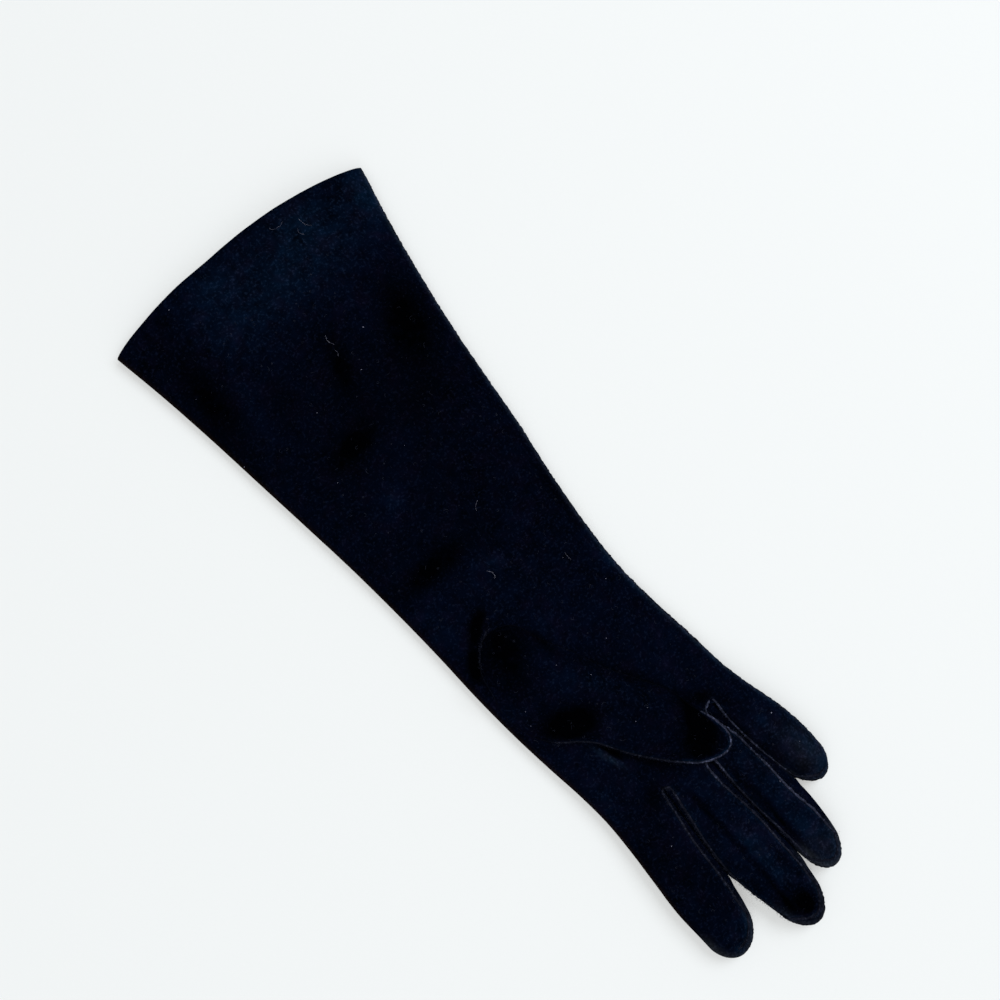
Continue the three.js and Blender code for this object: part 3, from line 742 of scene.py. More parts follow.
THUMB_FOLDS = [
    (19.5, 231, 40, 6.5, 5.5, -2.6), (17, 206, 110, 16, 6, -0.9),
    (-8, 250, 125, 18, 6, 0.6), (-20, 268, 60, 7, 6, -1.6),
]


def stretch(at, starts, full, fades, gone):
    return smoothstep(starts, full, at) * (1 - smoothstep(fades, gone, at))


def thumb_point(at, share, upper):
    middle_x, middle_y, turn, half, height, edge = THUMB.row(at)
    open_share = quarter_round(at / THUMB_ROOT_ROUND) * quarter_round((THUMB_END - at) / THUMB_TIP_ROUND)
    half *= max(open_share, BLUNT)
    x = middle_x + share * half * math.cos(math.radians(turn))
    y = middle_y + share * half * math.sin(math.radians(turn))
    laid = stretch(at, *LAID_STRETCH) * (share > 0)
    soft = smoothstep(*SOFT_SIDE, -share) * stretch(at, *SOFT_STRETCH)
    palm = palm_top(x, y)
    under = palm + THUMB_CLEAR
    edge = mix(edge, 0.5 * edge, soft)
    if upper:
        rounding = mix(crown(share), (1 - abs(share) ** SOFT_POWER) ** SOFT_ROUND, soft)
        z = under + edge + (height - under - edge) * rounding * open_share
        swell = (height - palm_top(middle_x, middle_y)) * (1 - share**2) ** 2
        z = mix(z, palm + THUMB_LAID + swell, laid)
        folds = spots_at(x, y, THUMB_FOLDS) + 0.5 * wrinkle_height(x, y + 60)
        z += folds * min(crown(share), (1 - share**2) * 1.5) * open_share
    else:
        z = under + edge - edge * (1 - curl(share, half)) * open_share
        set_in = palm + THUMB_LAID - THUMB_SET_IN * smoothstep(*SET_IN_EDGE, share)
        z = mix(z, set_in, laid * smoothstep(*SET_IN_SIDE, share))
    return Vector((x, y, z))


print("the thumb is", round(2 * THUMB.row(3)[3], 1), "mm wide at its root")

# %% [markdown]
# The thumb is laid like the trank: two grids, one above and one below, merged along their edges. Rows
# and columns draw together at its ends and sides.

# %% Lay the thumb
THUMB_COLUMNS = 40
THUMB_ROWS = 96
ENDS_CLOSER = 0.9
SIDES_CLOSER = 0.45


def thumb_stop(row):
    t = row / THUMB_ROWS
    return THUMB_END * (t - ENDS_CLOSER * math.sin(2 * math.pi * t) / (2 * math.pi))


def thumb_share(column):
    t = column / THUMB_COLUMNS
    return math.sin(math.pi * (t - 0.5)) * SIDES_CLOSER + (2 * t - 1) * (1 - SIDES_CLOSER)


bm = bmesh.new()
for upper in (True, False):
    verts, faces = make_grid(bm, THUMB_COLUMNS, THUMB_ROWS)
    for vert in verts:
        column, row = grid_place(vert, THUMB_COLUMNS, THUMB_ROWS)
        vert.co = at_mm(*thumb_point(thumb_stop(row), thumb_share(column), upper))
bmesh.ops.reverse_faces(bm, faces=faces)
cut_thumb_hole(bm, faces)
merge_rims(bm)
thumb = finish_mesh(bm, "thumb_cloth")
thicken(thumb)

# %% [markdown]
# ## Seams
# The glove is sewn with its cut edges outwards, so every seam stands up as a thin rough ridge. A round
# curve runs along a border of the cloth and becomes a mesh. Its points are then moved a little, because
# the stitches pinch it about every two millimetres.

# %% A sewn ridge along a run of points
RIDGE = 0.45
RIDGE_LIFT = 0.15
RIDGE_LOWEST = RIDGE * 0.8
RIDGE_STEP = 0.6
STITCH = 1.9
PUCKER = 0.2
COARSE, COARSE_SHARE = 0.9, 1.5
FINE, FINE_SHARE = 2.3, 1.3
PINCH_SHARE = 0.5
END_RADIUS = 0.3
RIDGE_SEED = 7
seams = {}
seam_runs = {}
noise.seed_set(RIDGE_SEED)


def roughness(spot, scale, seed):
    return noise.noise_vector(Vector((spot.x * scale, spot.y * scale, spot.z * scale + seed)))


def sewn_ridge(name, points, radius=RIDGE, seed=1, swell=0.0):
    curve = bpy.data.curves.new(name, "CURVE")
    curve.dimensions = "3D"
    curve.bevel_depth = radius * MM
    curve.bevel_resolution = 2
    curve.use_fill_caps = True
    spline = curve.splines.new("POLY")
    spline.points.add(len(points) - 1)
    for index, (slot, point) in enumerate(zip(spline.points, points)):
        slot.co = (*at_mm(*point), 1)
        from_end = min(index, len(points) - 1 - index)
        slot.radius = mix(END_RADIUS, 1.0, smoothstep(-1, 6, from_end))
        slot.radius *= 1 + swell * smoothstep(0.3, 0.65, index / len(points))
    holder = add_object(name + "_curve", curve)
    graph = bpy.context.evaluated_depsgraph_get()
    mesh = bpy.data.meshes.new_from_object(holder.evaluated_get(graph))
    bpy.data.objects.remove(holder)
    for polygon in mesh.polygons:
        polygon.use_smooth = True
    for vert in mesh.vertices:
        spot = vert.co / MM
        move = roughness(spot, COARSE, seed) * COARSE_SHARE + roughness(spot, FINE, seed) * FINE_SHARE
        move += Vector((0, 0, PINCH_SHARE * math.sin(spot.y * 2 * math.pi / STITCH + seed)))
        vert.co += move * PUCKER * MM * min(1, radius / RIDGE)
    seam_runs[name] = points
    seams[name] = add_object(name, mesh)
    print(name, "has", len(mesh.polygons), "faces")


def spaced(points, step):
    """The same run of points at even steps."""
    found, left_over = [points[0]], 0.0
    for a, b in zip(points, points[1:]):
        length = (b - a).length
        at = step - left_over
        while at <= length:
            found.append(a.lerp(b, at / length))
            at += step
        left_over = length - (at - step)
    return found


print("a ridge is", RIDGE * 2, "mm across")

# %% [markdown]
# The ridges between two fingers follow the borders of the fourchette, along one finger, round the fork
# and back along the other, on the palm and on the back. On the palm they go on round the fingertips.

# %% Sew the fourchettes in
ALONG_STEPS = 100
ROUND_STEPS = 40
FORK_EASE = 1.3
TIP_PAST = 1.9
TIP_INSET = {"little": 2.6, "ring": 4.0, "middle": 4.4, "index": 4.4}
TIP_SIDE_INSET = 0.7
TIP_SHARE = 0.97


def seam_run(finger, side, fork, upper):
    """The seam from a fork along one side of a finger, and on the palm's side round its tip."""
    tip, reach, tip_inset = tip_of(finger), TIP_ROUND[finger], TIP_INSET[finger]
    last = tip - reach if upper else tip
    run = []
    for k in range(ALONG_STEPS + 1):
        run.append(seam_point(finger, mix(fork, last, (k / ALONG_STEPS) ** FORK_EASE), side, upper))
    for k in range(1, ROUND_STEPS + 1 if upper else 1):
        turn = TIP_PAST * k / ROUND_STEPS
        y = tip - reach + (reach - tip_inset) * math.sin(turn)
        half = section_at(FINGERS[finger], y)[1]
        from_edge = mix(inset(finger, side, last), TIP_SIDE_INSET * tip_inset, smoothstep(0, 0.9, turn))
        share = side * math.cos(turn) * (half - from_edge) / blunt_half(finger, y, half)
        run.append(finger_point(finger, y, max(-TIP_SHARE, min(TIP_SHARE, share)), True))
    return run


for fork_name, fork in FORKS.items():
    right, left = fork_name.split("_")
    for upper, face, lift in ((True, "palm", RIDGE_LIFT), (False, "back", 0.0)):
        first, second = seam_run(left, 1, fork, upper), seam_run(right, -1, fork, upper)
        run = first[:0:-1] + [(first[0] + second[0]) / 2] + second[1:]
        run = [Vector((p.x, p.y, max(p.z + lift, RIDGE_LOWEST))) for p in run]
        sewn_ridge("seam_" + fork_name + "_" + face, spaced(run, RIDGE_STEP), seed=len(seams))

# %% [markdown]
# The side seam closes the sleeve along the little finger's side and runs on to that finger's tip. The
# thumb's seam follows the edge nearer the fingers and turns round the tip.

# %% Sew the side and the thumb
SIDE_LIFT = Vector((0.35, 0, 0.5))
ROUND_TIP_ROWS = 8
THUMB_SEAM = (3.2, 7.1)
THUMB_STEPS = 90
THUMB_ROUND_STEPS = 30

side_run = [cloth_point(["little"], 0, row, True) for row in range(ROWS + 1)]
for row in range(ROWS - 1, ROWS - 1 - ROUND_TIP_ROWS, -1):
    side_run.append(seam_point("little", row_place("little", row), 1, True))
side_run = [point + SIDE_LIFT for point in side_run]
sewn_ridge("side_seam", spaced(side_run, 0.7), radius=0.4, seed=9)

thumb_run = []
for k in range(THUMB_STEPS + 1):
    at = mix(THUMB_SEAM[0], THUMB_END, math.sin(math.pi / 2 * k / THUMB_STEPS))
    thumb_run.append(thumb_point(at, 1, True))
for k in range(1, THUMB_ROUND_STEPS + 1):
    thumb_run.append(thumb_point(mix(THUMB_END, THUMB_SEAM[1], k / THUMB_ROUND_STEPS), -1, True))
sewn_ridge("thumb_seam", spaced(thumb_run, RIDGE_STEP), radius=0.5, seed=12, swell=0.5)

# %% [markdown]
# ## The seam at the thumb's root
# Only a short piece of this seam shows. Its place is known from above, and its height is wherever the
# cloth lies, so a ray from above looks for the cloth. The lint and hairs are laid down so as well.

# %% Find the cloth below a place, and sew the root
HIGH_ABOVE = 60
ROOT_SEAM = [(22.2, 180.8), (23.9, 181.2), (27.8, 183.0), (31.1, 185.4), (33.7, 188.4), (35.2, 191.2)]
graph = bpy.context.evaluated_depsgraph_get()
cloth_trees = [BVHTree.FromObject(piece, graph) for piece in (trank, thumb)]


def rest_on_cloth(x, y, lift=0.0):
    """The point of the cloth right below a place, or None beside the glove."""
    hits = [tree.ray_cast(at_mm(x, y, HIGH_ABOVE), Vector((0, 0, -1)))[0] for tree in cloth_trees]
    heights = [hit.z / MM for hit in hits if hit]
    return Vector((x, y, max(heights) + lift)) if heights else None


root_run = spaced([Vector((x, y, 0)) for x, y in ROOT_SEAM], 0.5)
root_run = [rest_on_cloth(point.x, point.y, 0.1) for point in root_run]
sewn_ridge("thumb_root_seam", root_run, radius=0.28, seed=14)

# %% [markdown]
# ## Writing a finish as sums
# A finish is a small sum of patterns. Blender writes that sum as nodes joined by wires, which is hard to
# read. So one class stands for a wire, and adding or multiplying two wires makes the Math node. A
# second one holds the material and makes its other nodes.

# %% A wire that can be reckoned with
OBJECT_PLACE = 3
ATTRIBUTE_VALUE = 2


class Wire:
    """One value on its way through a material: + - and * add the Math nodes."""

    def __init__(self, finish, socket):
        self.finish = finish
        self.socket = socket

    def reckon(self, operation, first, second):
        return self.finish.node("ShaderNodeMath", {"operation": operation}, {0: first, 1: second})

    def __add__(self, other):
        return self.reckon("ADD", self, other)

    def __radd__(self, other):
        return self.reckon("ADD", other, self)

    def __sub__(self, other):
        return self.reckon("SUBTRACT", self, other)

    def __rsub__(self, other):
        return self.reckon("SUBTRACT", other, self)

    def __mul__(self, other):
        return self.reckon("MULTIPLY", self, other)

    def __rmul__(self, other):
        return self.reckon("MULTIPLY", other, self)


class Finish:
    """A material whose nodes are made one by one from their settings and inputs."""

    def __init__(self, name):
        self.material = bpy.data.materials.new(name)
        self.material.use_nodes = True
        self.nodes = self.material.node_tree.nodes
        self.links = self.material.node_tree.links
        self.shader = self.nodes["Principled BSDF"]
        self.place = self.node("ShaderNodeTexCoord", output=OBJECT_PLACE)

    def node(self, kind, settings=None, inputs=None, output=0):
        made = self.nodes.new(kind)
        for key, value in (settings or {}).items():
            setattr(made, key, value)
        self.feed(made, inputs or {})
        return Wire(self, made.outputs[output])

    def feed(self, made, inputs):
        for key, value in inputs.items():
            if isinstance(value, Wire):
                self.links.new(value.socket, made.inputs[key])
            else:
                made.inputs[key].default_value = value

    def clouds(self, scale, detail, roughness=0.5):
        """A noise that stays with the cloth. A larger scale makes smaller clouds."""
        inputs = {"Vector": self.place, "Scale": scale, "Detail": detail, "Roughness": roughness}
        return self.node("ShaderNodeTexNoise", {}, inputs)

    def clamp(self, value, low, high):
        return self.node("ShaderNodeClamp", {}, {"Value": value, "Min": low, "Max": high})

    def rise(self, value, low, high, kind="LINEAR"):
        """0 up to low and 1 from high on."""
        inputs = {"Value": value, "From Min": low, "From Max": high}
        return self.node("ShaderNodeMapRange", {"interpolation_type": kind}, inputs)

    def colour(self, share, first, second, kind="MIX", clamp=True):
        """Mix two colours, or add a share of the second to the first."""
        first, second = [tone if isinstance(tone, Wire) else (*tone, 1) for tone in (first, second)]
        settings = {"data_type": "RGBA", "blend_type": kind, "clamp_factor": clamp}
        return self.node("ShaderNodeMix", settings, {"Factor": share, 6: first, 7: second}, output=2)


print("finishes can be written as sums")

# %% [markdown]
# ## The napped cloth
# The cloth is brushed until short fibres stand up, like suede. It swallows light, so it is nearly black
# with a breath of blue, and a little sheen gives its soft rim. A hand that stroked it leaves cloudy
# patches where the nap lies the other way. We mix noises of several sizes, from cloudy patches down to
# a mottled grain of about a millimetre, and a warm tint here and there. Painted shade and painted
# highlights stored on the points darken and lift it, and a painted sheen lightens the rims. The raised
# seams are paler, partly from their frayed edges and partly as a painted highlight for the light they
# catch.

# %% The finish of the cloth
GRAIN = 1.1
SHEEN = {"Sheen Weight": 0.02, "Sheen Roughness": 0.2, "Sheen Tint": (0.40, 0.45, 0.62, 1)}


def napped_cloth(name, base, deep, lifted, warm, speck, highlight_tint):
    finish = Finish(name)
    # The points carry painted shade and painted highlights, read here.
    painted_shade_and_light = finish.node("ShaderNodeAttribute", {"attribute_name": "painted_shade_and_light"}, output=ATTRIBUTE_VALUE)
    # The painted sheen of the rims, stored on the points.
    painted_sheen = finish.node("ShaderNodeAttribute", {"attribute_name": "painted_sheen"})
    cloudy = finish.clouds(45.0, 1.0)
    blotch = finish.clouds(240.0, 1.0)
    mottle = finish.clouds(1000 / GRAIN, 2.0, 0.6)
    tufts = finish.rise(mottle, 0.52, 0.74, "SMOOTHSTEP")
    warmth = finish.rise(finish.clouds(150.0, 2.0), 0.48, 0.70)
    # Painted shade darkens the tone, and painted highlights lift it.
    shade_and_light_factor = finish.clamp(1.0 + painted_shade_and_light * (0.35 + 1.2 * blotch), 0.05, 8.0)
    grained = base + 0.45 * (cloudy - 0.5) + 0.55 * (blotch - 0.5) + 0.35 * (mottle - 0.5) + 0.35 * tufts
    tone = shade_and_light_factor * finish.clamp(grained, 0.12, 2.0)
    colour = finish.colour(tone, deep, lifted, clamp=False)
    colour = finish.colour(warmth * tone, colour, warm, "ADD")
    colour = finish.colour(tufts * shade_and_light_factor * 0.5, colour, speck, "ADD")
    # A teal tint is added where highlights are painted.
    colour = finish.colour(finish.clamp(painted_shade_and_light, 0.0, 1.0) * tone, colour, highlight_tint, "ADD")
    # The painted sheen is added, broken up by the grain.
    colour = finish.colour(3 * mottle - 0.5, colour, painted_sheen, "ADD", clamp=False)
    height = mottle + 0.5 * blotch
    relief = finish.node("ShaderNodeBump", {}, {"Height": height, "Strength": 0.6, "Distance": 0.0003})
    surface = {"Base Color": colour, "Roughness": 0.97, "Normal": relief, "Specular IOR Level": 0.0}
    finish.feed(finish.shader, {**surface, **SHEEN})
    return finish.material


def dress(material, *pieces):
    for piece in pieces:
        piece.data.materials.clear()
        piece.data.materials.append(material)
    print(material.name, "is on", len(pieces), "pieces")


cloth = napped_cloth(
    "napped_cloth", base=0.36, deep=(0.00015, 0.0002, 0.0003), lifted=(0.0010, 0.0032, 0.0125),
    warm=(0.0020, 0.0003, 0.0008), speck=(0.0040, 0.0046, 0.0070), highlight_tint=(0, 0.0022, 0.0030),
)
# The seams are paler: partly their frayed cut edges, and partly a painted highlight for the light their
# ridges catch.
pale_seam_and_highlight = napped_cloth(
    "pale_seam_and_highlight", base=0.30, deep=(0.0005, 0.0007, 0.0018), lifted=(0.016, 0.0185, 0.033),
    warm=(0.002, 0.001, 0.001), speck=(0.017, 0.020, 0.034), highlight_tint=(0, 0, 0),
)
dress(cloth, trank, thumb, *fourchettes.values())
dress(pale_seam_and_highlight, *seams.values())

# %% [markdown]
# ## Painted shade and highlights
# The cloth is painted almost black where shade falls: in the dents of the folds, at the thumb's root,
# under its edges and in the creases. It is painted paler where light falls: on the swells, on the rims
# of the fingertips and beside the seams, whose ridges catch it. The patches follow the folds, so they are
# listed with their middle, direction, length and width, and a tone below nothing for dark and above for
# pale. Each point of the cloth keeps the sum of all that reaches it, and the finish reads it there.

# %% Where shade and highlights are painted
# Painted shadow beside the thumb's edge where it lies over the palm, put on both the palm and the thumb.
SHADOW_BESIDE_THUMB = [(9.5, 198, 97, 7, 2.0, -0.8), (3, 215, 120, 14, 2.0, -0.4), (-12, 239, 118, 16, 2.2, -0.45)]
# On the palm and fingers: painted shade in the dents, grooves and under the thumb; painted highlights on
# the swells and the fingertips' rims.
PALM_SHADE_AND_LIGHT = SHADOW_BESIDE_THUMB + [
    (47, 38, 84, 26, 9, -1.0), (-35, 62.5, 70, 20, 10, -1.0), (-2, 61, 69, 13, 5, -0.8),
    (17, 90, 9, 13, 6, -0.9), (-17, 93, 20, 9, 7, -0.3), (25, 55, 70, 13, 8, -0.4),
    (24, 148, 0, 19, 6, -1.0), (-36, 156, 81, 19, 4, -0.6), (25.5, 176.5, 48, 5, 3.0, -0.8),
    (36.5, 188.5, 60, 5, 3, -0.5), (7, 264, 116, 10, 3, -0.6), (14, 275, 90, 4, 4, -0.5),
    (18, 274, 60, 7, 4, -0.5), (17.2, 250, 108, 4, 1.4, -1.2), (-25.5, 259.2, 139, 7, 3, -0.9),
    (-1.5, 345, 90, 7, 5.5, -1.5), (-37, 307, 108, 6, 3.5, -0.8), (-14.8, 320, 88, 13, 2.2, -0.9),
    (-12, 16, 4, 48, 17, 0.8), (18, 2, 0, 10, 8, 0.4), (-27, 5, 0, 10, 8, 0.5), (-58, 9, 90, 12, 7, 0.9),
    (36, 50, 81, 13, 3, 0.4), (18, 117, 60, 8, 4, 0.6), (5, 160, 140, 8, 3, 0.5), (9, 172, 0, 26, 16, 0.12),
    (40, 164, 80, 12, 7, 0.25), (20, 263, 120, 10, 7, 0.2), (33, 265, 90, 12, 5, 0.3),
    (20.0, 250.8, 108, 6, 1.1, 0.9), (-38.5, 222, 98, 44, 3.0, 0.8), (0, 317, 95, 9, 3.5, 0.5),
    (-1, 334, 95, 6, 5, 0.45), (33, 312, 90, 9, 5, 0.3), (26, 337, 90, 6, 7, 0.4),
    (-21, 324, 95, 12, 4, 0.35), (-22, 290, 95, 10, 4, 0.3), (-46, 304, 95, 8, 4, 0.7),
    (-42, 295, 96, 22, 8, 0.35), (-22, 312, 95, 30, 9, 0.35), (0, 312, 93, 32, 10, 0.35),
    (26, 300, 90, 26, 12, -0.2), (-10, 80, 0, 38, 22, -0.35), (6, 124, 90, 32, 34, -0.25),
    (-42, 312, 20, 6, 3, 0.7), (-27, 338, 100, 7, 2.5, 0.7), (-20, 342, 10, 5, 2.5, 0.6),
    (-8, 343, 110, 7, 2.5, 0.7), (20, 336, 70, 8, 2.5, 0.6), (28, 343, 0, 6, 2.5, 0.6),
    (-33, 296, 96, 5, 3, -0.6), (-32, 277, 96, 10, 1.3, 0.8), (-36, 286, 96, 9, 3.5, 0.5),
]
# On the thumb: painted shade at its root, in its dent and under its tip, and faint painted highlights on
# its rises.
THUMB_SHADE_AND_LIGHT = SHADOW_BESIDE_THUMB + [
    (23, 190, 60, 13, 11, -1.0), (26, 204, 90, 8, 5, -0.35), (23, 230, 158, 11, 6.5, -1.8),
    (-17, 264, 49, 14, 8, -1.5), (-19, 257, 80, 8, 5, -0.5), (-9, 271, 130, 9, 4, -0.4),
    (12, 241, 60, 5, 3.5, 0.4), (35, 217, 110, 12, 5, 0.25), (6, 224, 130, 18, 6, 0.3),
]
# On the seams: painted highlights, strongest round the thumb's tip, then on the ring finger's seam and the
# side seam; a little painted shade on the root seam.
SEAM_SHADE_AND_LIGHT = [
    (-18, 272, 45, 16, 12, 5.2), (-27, 300, 95, 30, 4, 3.3), (-10, 315, 95, 30, 3.5, 0.5),
    (16, 305, 82, 26, 3, 0.4), (30, 186, 48, 9, 5, -0.5), (-48, 90, 95, 120, 14, 1.5),
]
print("patches:", len(PALM_SHADE_AND_LIGHT) + len(THUMB_SHADE_AND_LIGHT) + len(SEAM_SHADE_AND_LIGHT))

# %% Paint the shade and highlights
SEAM_HIGHLIGHT_WIDTH = 1.2
HEIGHT_COUNTS = 0.3
THUMB_TIP_FROM = 90
CREASE_WIDTH = 1.3
CREASE_SHADE = -0.8


def paint_shade_and_light(piece, patches):
    painted_shade_and_light = piece.data.attributes.new("painted_shade_and_light", "FLOAT", "POINT")
    for vert, value in zip(piece.data.vertices, painted_shade_and_light.data):
        value.value = spots_at(*on_glove(vert.co), patches)


def nearness(piece, run, width):
    """How near each point is to a line, with heights counted less: 1 on it, fading out over its width."""
    points = spaced(run, 0.5)
    tree = KDTree(len(points))
    for index, point in enumerate(points):
        tree.insert(at_mm(point.x, point.y, point.z * HEIGHT_COUNTS), index)
    tree.balance()
    places = [Vector((vert.co.x, vert.co.y, vert.co.z * HEIGHT_COUNTS)) for vert in piece.data.vertices]
    return [math.exp(-((tree.find(place)[2] / MM / width) ** 2)) for place in places]


def paint_shade_and_light_along(piece, run, width, tone):
    """Paint a highlight beside a line, or a shade where the tone is below nothing."""
    for value, near in zip(piece.data.attributes["painted_shade_and_light"].data, nearness(piece, run, width)):
        value.value += tone * near


# Painted shade and highlights from the tables.
paint_shade_and_light(trank, PALM_SHADE_AND_LIGHT)
paint_shade_and_light(thumb, THUMB_SHADE_AND_LIGHT)
palm_runs = [run for name, run in seam_runs.items() if name.endswith("_palm")]
# Painted highlights beside the fork seams on the palm, along the side seam and round the thumb's seam,
# brightest at its tip.
for run in palm_runs:
    paint_shade_and_light_along(trank, run, SEAM_HIGHLIGHT_WIDTH, 0.9)
paint_shade_and_light_along(trank, seam_runs["side_seam"], 1.4, 1.2)
paint_shade_and_light_along(thumb, seam_runs["thumb_seam"][THUMB_TIP_FROM:], SEAM_HIGHLIGHT_WIDTH, 2.6)
paint_shade_and_light_along(thumb, seam_runs["thumb_seam"][:THUMB_TIP_FROM], SEAM_HIGHLIGHT_WIDTH, 0.7)
# Painted shade in the creases.
for depth, width, points in CREASES:
    line = [rest_on_cloth(x, y) for x, y in points]
    paint_shade_and_light_along(trank, line, CREASE_WIDTH * width, CREASE_SHADE * depth)
# The seams' own painted highlights and shade.
for piece in seams.values():
    paint_shade_and_light(piece, SEAM_SHADE_AND_LIGHT)
print("lines stroked:", len(palm_runs) + 3 + len(CREASES))

# %% [markdown]
# ## Painted sheen on the rims
# Where the rounded fingertips catch the light at a slant, the nap shows a soft grey sheen, and it is
# painted round their ends, as are a few pale rims and a lit streak beside the thumb. The folded edge on
# the index finger's side lies in the shade and gets a brownish painted tint and painted shade, and the
# side seam's edge a grey painted rim. A table says how wide and how strong the grey is at each tip. The
# colour is stored on the points and added by the finish.

# %% Paint the sheen on the fingertips and the folded edge
SHEEN_GREY = Vector((0.0085, 0.0095, 0.0110, 0))
BROWN_EDGE_TINT = Vector((0.0062, 0.0032, 0.0012, 0))
SHEEN_AT_TIPS = {"little": (0.8, 1.3), "ring": (2.3, 2.0), "middle": (2.2, 0.9), "index": (2.3, 1.35)}
HIGHLIGHT_SPOTS = [(-43, 304, 98, 14, 7, 0.35), (-22, 336, 98, 8, 6, 0.25), (20.0, 250.8, 108, 6, 0.9, 0.5)]
SHEEN_FROM, SHEEN_FULL = 2.0, 0.8
FOLD_FADES = (12, 30)
WHOLE_LENGTH = (-50.0, -40.0)
TIP_RUN = 3.2
TIP_RUN_STEPS = 24
TIP_RUN_SHARE = 0.98


def paint_sheen(piece, colour, shares):
    """Add to each point its share of a colour."""
    if "painted_sheen" not in piece.data.attributes:
        for value in piece.data.attributes.new("painted_sheen", "FLOAT_COLOR", "POINT").data:
            value.color = (0, 0, 0, 1)
    for value, share in zip(piece.data.attributes["painted_sheen"].data, shares):
        value.color = Vector(value.color) + share * colour


def paint_sheen_along(piece, run, width, colour, begins_full=WHOLE_LENGTH):
    """Paint sheen beside a line. It begins at one place along the glove and is full at another."""
    full = [smoothstep(*begins_full, on_glove(vert.co)[1]) for vert in piece.data.vertices]
    paint_sheen(piece, colour, [near * share for near, share in zip(nearness(piece, run, width), full)])


def tip_run(finger):
    """The outline of a fingertip, from its side towards the little finger round to its other side."""
    sides = {-1: [], 1: []}
    for k in range(TIP_RUN_STEPS + 1):
        y = tip_of(finger) - TIP_ROUND[finger] * TIP_RUN * (1 - math.sin(math.pi / 2 * k / TIP_RUN_STEPS))
        for side, run in sides.items():
            run.append(finger_point(finger, y, side * TIP_RUN_SHARE, True))
    return sides[-1] + sides[1][::-1]


# Painted sheen round the ends of the fingertips.
for finger, (width, strength) in SHEEN_AT_TIPS.items():
    tip, reach = tip_of(finger), TIP_ROUND[finger]
    for piece in (trank, *fourchettes.values()):
        span = (tip - SHEEN_FROM * reach, tip - SHEEN_FULL * reach)
        paint_sheen_along(piece, tip_run(finger), width, SHEEN_GREY * strength, span)
# Painted highlights on a few rims of the little and ring fingers, and on a lit streak beside the thumb.
paint_sheen(trank, SHEEN_GREY, [spots_at(*on_glove(vert.co), HIGHLIGHT_SPOTS) for vert in trank.data.vertices])
# A brownish tint and painted shade along the index finger's folded edge, which lies in the shade, and a
# grey painted rim along the side seam.
folded_edge = [cloth_point(["index"], ALL_COLUMNS, row, True) for row in range(SHARED_ROWS + STRAIGHT_ROWS)]
index_tip = tip_of("index")
paint_sheen_along(trank, folded_edge, 1.15, BROWN_EDGE_TINT, [index_tip - before for before in FOLD_FADES])
paint_sheen_along(trank, seam_runs["side_seam"], 1.05, SHEEN_GREY * 0.75)
paint_shade_and_light_along(trank, folded_edge, 1.6, -0.6)
print("rubbed fingertips:", len(SHEEN_AT_TIPS))

# %% [markdown]
# ## Fuzz on the seams
# The cut edges of brushed cloth fray, and the short pale fibres make every seam look soft and a little
# lighter. Each fibre is a very thin cone with only three sides, because there are thousands of them. A
# seeded random turn keeps each run the same.

# %% Fray the seams
FIBRE_RADIUS = 0.05
FIBRES_AT_ONCE = 150


def add_fibre(bm, root, direction, length, radius):
    turn = direction.to_track_quat("Z", "Y").to_matrix().to_4x4()
    middle = at_mm(*(root + direction * length / 2))
    bmesh.ops.create_cone(
        bm, cap_ends=True, segments=3, radius1=radius * MM, radius2=radius * 0.3 * MM,
        depth=length * MM, matrix=Matrix.Translation(middle) @ turn,
    )


def lay_fibres(name, fibres):
    """All fibres as one piece. They are made a few at a time, because that is much quicker."""
    whole = bmesh.new()
    for start in range(0, len(fibres), FIBRES_AT_ONCE):
        few = bmesh.new()
        for fibre in fibres[start:start + FIBRES_AT_ONCE]:
            add_fibre(few, *fibre)
        mesh = bpy.data.meshes.new("few_fibres")
        few.to_mesh(mesh)
        few.free()
        whole.from_mesh(mesh)
        bpy.data.meshes.remove(mesh)
    return finish_mesh(whole, name, smooth=False)


def any_direction(chance, low, high):
    """A random direction that points as far up as low to high say."""
    turn = chance.uniform(0, 2 * math.pi)
    return Vector((math.cos(turn), math.sin(turn), chance.uniform(low, high))).normalized()


def fray(name, runs, per_mm, spread, longest, seed):
    chance = random.Random(seed)
    fibres = []
    for run in runs:
        for point in spaced(run, 1 / per_mm):
            off = Vector((chance.gauss(0, spread), chance.gauss(0, spread), chance.uniform(0, 0.2)))
            length = chance.uniform(0.3, 1.0) * longest
            fibres.append((point + off, any_direction(chance, 0.0, 0.7), length, FIBRE_RADIUS))
    return lay_fibres(name, fibres)


fork_fuzz = fray("fork_fuzz", palm_runs, 14, 0.65, 1.0, 21)
thumb_fuzz = fray("thumb_fuzz", [seam_runs["thumb_seam"], seam_runs["thumb_root_seam"]], 14, 0.5, 0.9, 22)
side_fuzz = fray("side_fuzz", [seam_runs["side_seam"]], 3, 0.15, 0.5, 23)

# %% [markdown]
# ## Loose fibres, lint and hairs
# Dark brushed cloth shows every speck. Short loose fibres and small curls lie all over it, some
# brighter tufts of lint catch the eye, and a few thin hairs lie near the cuff and on the sleeve.

# %% Scatter the loose fibres
LOOSE_FIBRES = 1500
LOOSE_CURLS = 280
FIBRES_ACROSS, FIBRES_ALONG = (-64, 64), (-4, 356)
CURLS_ACROSS, CURLS_ALONG = (-40, 40), (20, 335)
HAIR_LIFT = 0.12
PIECES_OVERLAP = 1.1
HAIR_SHAKE = 0.3


